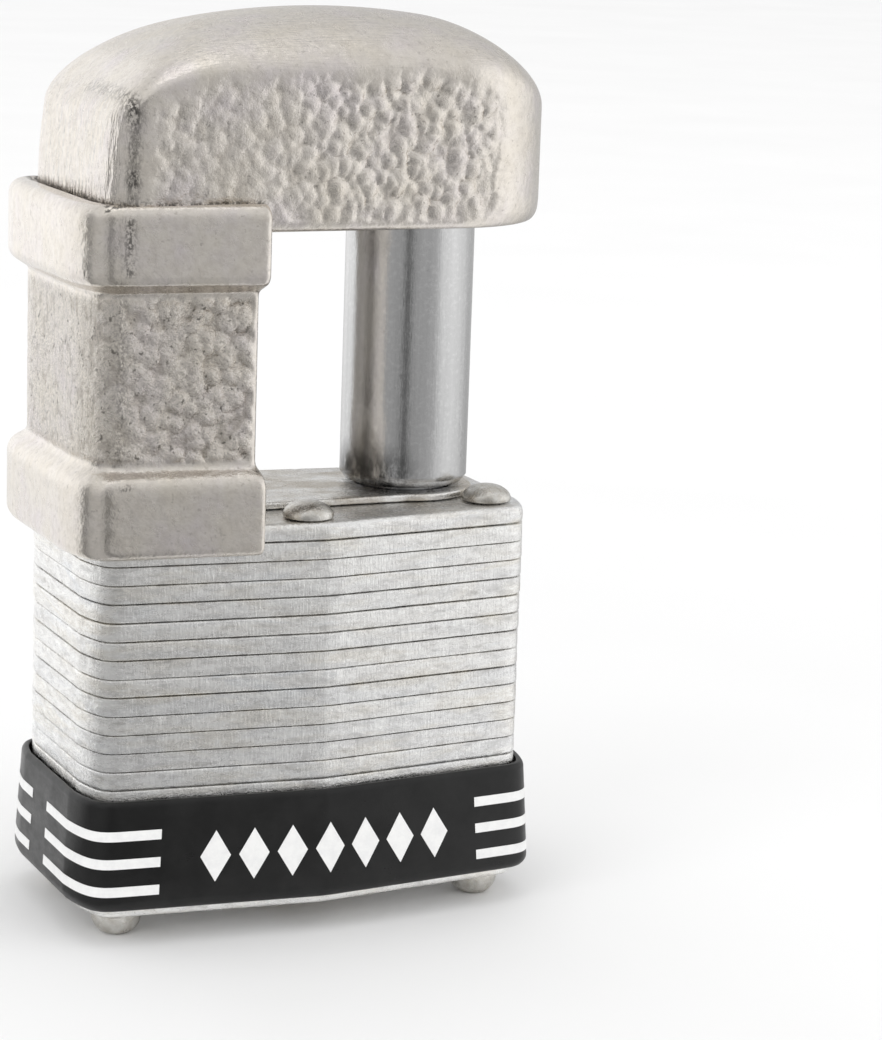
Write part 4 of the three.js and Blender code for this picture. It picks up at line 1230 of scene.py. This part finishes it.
KEY_PIN_INNER = [1.3, 0.8, 1.6, 1.0]
for k, z in enumerate(CHAMBERS):
    n = k + 1
    key_pin = moved(along_x(lathe(pin_profile(KEY_PIN_INNER[k], PLUG_R - 0.25, True), 32)), z=z)
    piece(f"key_pin_{n}_turned", turned(key_pin), "plug", BRASS, [f"key_pin_{n}"])
    driver = moved(along_x(lathe(pin_profile(4.3, 6.3, False), 32)), z=z)
    piece(f"driver_pin_{n}_turned", driver, "body", BRASS, [f"driver_pin_{n}"])
    wound = moved(along_x(coil(0.75, 0.17, 4, 2.7)), x=6.4, z=z)
    piece(f"pin_spring_{n}_wound", wound, "body", SPRING, [f"pin_spring_{n}"])


# ---- Cam, dogs and springs ----
cam_low, cam_high, post_high = PLUG_HIGH + 0.4, DOG_LOW - 1.2, ARM_HIGH - 0.2
disc = lathe([(0, cam_low), (3.85, cam_low), (4, cam_low + 0.15), (4, cam_high - 0.15),
              (3.85, cam_high), (0, cam_high)], 72)
posts = [lathe([(0, cam_high - 0.3), (0.6, cam_high - 0.3), (0.6, post_high - 0.12),
                (0.48, post_high), (0, post_high)], 32, 0, side * DRIVE_RADIUS)
         for side in (-1, 1)]
piece("cam_pressed", disc, "plug", SINTERED, ["cam"], joins=posts,
      cuts=[box(-1.15, 1.15, -2.6, 2.6, 0, TENON_HIGH + 0.2)])


def dog_shape(nose, facing):
    hook = np.array([(-2.6, 0.4), (-1.2, 0.4), (-1.2, 2.8), (3.4, 2.8), (3.4, DOG_HALF),
                     (-2.6, DOG_HALF)]) * facing
    block = np.array([(3.2, -DOG_HALF), (nose, -DOG_HALF), (nose, DOG_HALF), (3.2, DOG_HALF)])
    block = block * facing
    return (loft([ring_at(block, DOG_LOW), ring_at(block, DOG_HIGH)]),
            loft([ring_at(hook, DOG_LOW), ring_at(hook, ARM_HIGH)]))


for name, nose, facing in (("toe", TOE_NOSE, 1), ("heel", HEEL_NOSE, -1)):
    block, hook = dog_shape(nose, facing)
    piece(f"locking_dog_{name}_sintered", block, f"dog_{name}", SINTERED, [f"locking_dog_{name}"],
          joins=[hook], ease=0.15)
dog_coil = moved(along_x(coil(0.85, 0.22, 6, 6)), x=-3, z=(ARM_HIGH + DOG_HIGH) / 2)
piece("dog_spring_wound", dog_coil, "body", SPRING, ["dog_spring"])
heel_room = HEEL_END - FOOT - PITCH - 0.3
piece("shackle_spring_wound", moved(coil(3, 0.15, 2, heel_room), HEEL_X, 0, FOOT + PITCH + 0.1),
      "body", SPRING, ["shackle_spring"])


# ---- Floor, light and camera ----
def stage_floor():
    bpy.ops.mesh.primitive_plane_add(size=12)
    floor = bpy.context.object
    floor.name = "floor"
    p = Paint("floor_paper", 0.0, 0.9)
    p.color(p.ramp(p.noise(60, 2), [(0.3, (0.86, 0.86, 0.86)), (0.7, (0.88, 0.88, 0.88))]))
    floor.data.materials.append(p.material)
    floor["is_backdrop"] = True


def softbox(name, place, aim, size, power, tint=(1, 1, 1)):
    light = bpy.data.lights.new(name, "AREA")
    light.shape = "RECTANGLE"
    light.size, light.size_y = size
    light.energy = power
    light.color = tint
    obj = bpy.data.objects.new(name, light)
    obj.location = place
    obj.rotation_euler = (Vector(aim) - Vector(place)).to_track_quat("-Z", "Y").to_euler()
    bpy.context.scene.collection.objects.link(obj)


def glow(material, strength):
    """Turns a paint into a plain glowing wall of that strength."""
    material.shader.inputs["Base Color"].default_value = (0, 0, 0, 1)
    material.shader.inputs["Specular IOR Level"].default_value = 0
    material.link(strength, material.shader.inputs["Emission Color"])
    material.shader.inputs["Emission Strength"].default_value = 1.0


def light_tent():
    """A round paper wall and sheet about the lock that only its polished surfaces see."""
    points, faces = [], []
    sides, radius, inner, high = 180, 190, 26, 700.0
    rings = ((inner, 0.5), (radius, 0.5), (radius, high))
    for k in range(sides):
        a = 2 * math.pi * k / sides
        points += [(r * math.cos(a), r * math.sin(a), z) for r, z in rings]
    for k in range(sides):
        a, b = len(rings) * k, len(rings) * ((k + 1) % sides)
        faces += [(a, b, b + 1, a + 1), (a + 1, b + 1, b + 2, a + 2)]
    mesh = bpy.data.meshes.new("tent_wall")
    mesh.from_pydata([[c * MM for c in p] for p in points], [], faces)
    wall = bpy.data.objects.new("tent_wall", mesh)
    bpy.context.scene.collection.objects.link(wall)
    p = Paint("tent_paper", 0.0, 1.0)
    angle = p.math("ARCTAN2", p.axis("X"), p.axis("Y"))
    share = p.math("ADD", p.math("DIVIDE", angle, 2 * math.pi), 0.5)
    side = p.ramp(share, TENT)
    rise = p.math("DIVIDE", p.axis("Z"), high)
    dim = p.ramp(rise, [(0.0, 0.85), (0.045, 1.0)])
    side = p.mix(1.0, side, dim, "MULTIPLY")
    overhead = (0.64, 0.64, 0.64)
    walls = p.mix(p.ramp(rise, [(0.12, 0.0), (0.4, 1.0)]), side, overhead)
    glow(p, p.mix(1.0, walls, (TENT_POWER,) * 3, "MULTIPLY"))
    mesh.materials.append(p.material)
    wall.visible_camera = False
    wall.visible_diffuse = False
    wall.visible_shadow = False
    wall.visible_transmission = False
    wall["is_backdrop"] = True


def pale_world(strength):
    world = bpy.data.worlds.new("pale")
    world.use_nodes = True
    bpy.context.scene.world = world
    back = world.node_tree.nodes["Background"]
    back.inputs["Color"].default_value = (1.0, 1.0, 1.0, 1)
    back.inputs["Strength"].default_value = strength


# Compass of the tent, as shares of a turn: 0 and 1 look along -Y, 0.25 along -X, 0.5 along +Y,
# 0.75 along +X.
TENT = [(0.0, 0.43), (0.036, 0.40), (0.052, 0.10), (0.064, 0.10), (0.082, 0.38), (0.17, 0.47),
        (0.266, 0.36), (0.277, 0.02), (0.291, 0.02), (0.303, 0.85), (0.38, 1.0), (0.48, 1.0),
        (0.57, 0.5), (0.68, 0.5), (0.75, 0.85), (0.82, 1.0), (0.88, 0.88), (0.915, 0.56),
        (0.945, 0.46)]
TENT_POWER = 1.25
stage_floor()
light_tent()
pale_world(1.06)
softbox("key_left", (-0.9, -0.45, 0.8), (0, 0, 0.03), (0.7, 0.9), 1.6)
softbox("top", (0.1, -0.1, 1.2), (0, 0, 0.03), (1.0, 1.0), 0.9)
softbox("fill_right", (0.9, -0.7, 0.5), (0, 0, 0.03), (0.6, 0.9), 0.8)
bpy.context.scene.view_settings.view_transform = "Standard"

AZIMUTH, ELEVATION, ROLL = math.radians(-24.94), math.radians(11.75), math.radians(1.97)
DISTANCE, AIM = 0.2766, Vector((0.01479, 0.0, 0.03265))
back = Vector((math.sin(AZIMUTH) * math.cos(ELEVATION), -math.cos(AZIMUTH) * math.cos(ELEVATION),
               math.sin(ELEVATION)))
lens = bpy.data.cameras.new("camera")
lens.sensor_fit = "HORIZONTAL"
lens.sensor_width = 36
lens.lens = 130.2
lens.shift_x = 1 / 882
lens.shift_y = -12 / 882
lens.clip_start, lens.clip_end = 0.01, 50
camera = bpy.data.objects.new("camera", lens)
bpy.context.scene.collection.objects.link(camera)
camera.location = AIM + back * DISTANCE
camera.rotation_mode = "QUATERNION"
look = (-back).to_track_quat("-Z", "Y")
camera.rotation_quaternion = Quaternion(back, ROLL) @ look
bpy.context.scene.camera = camera

low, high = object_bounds()
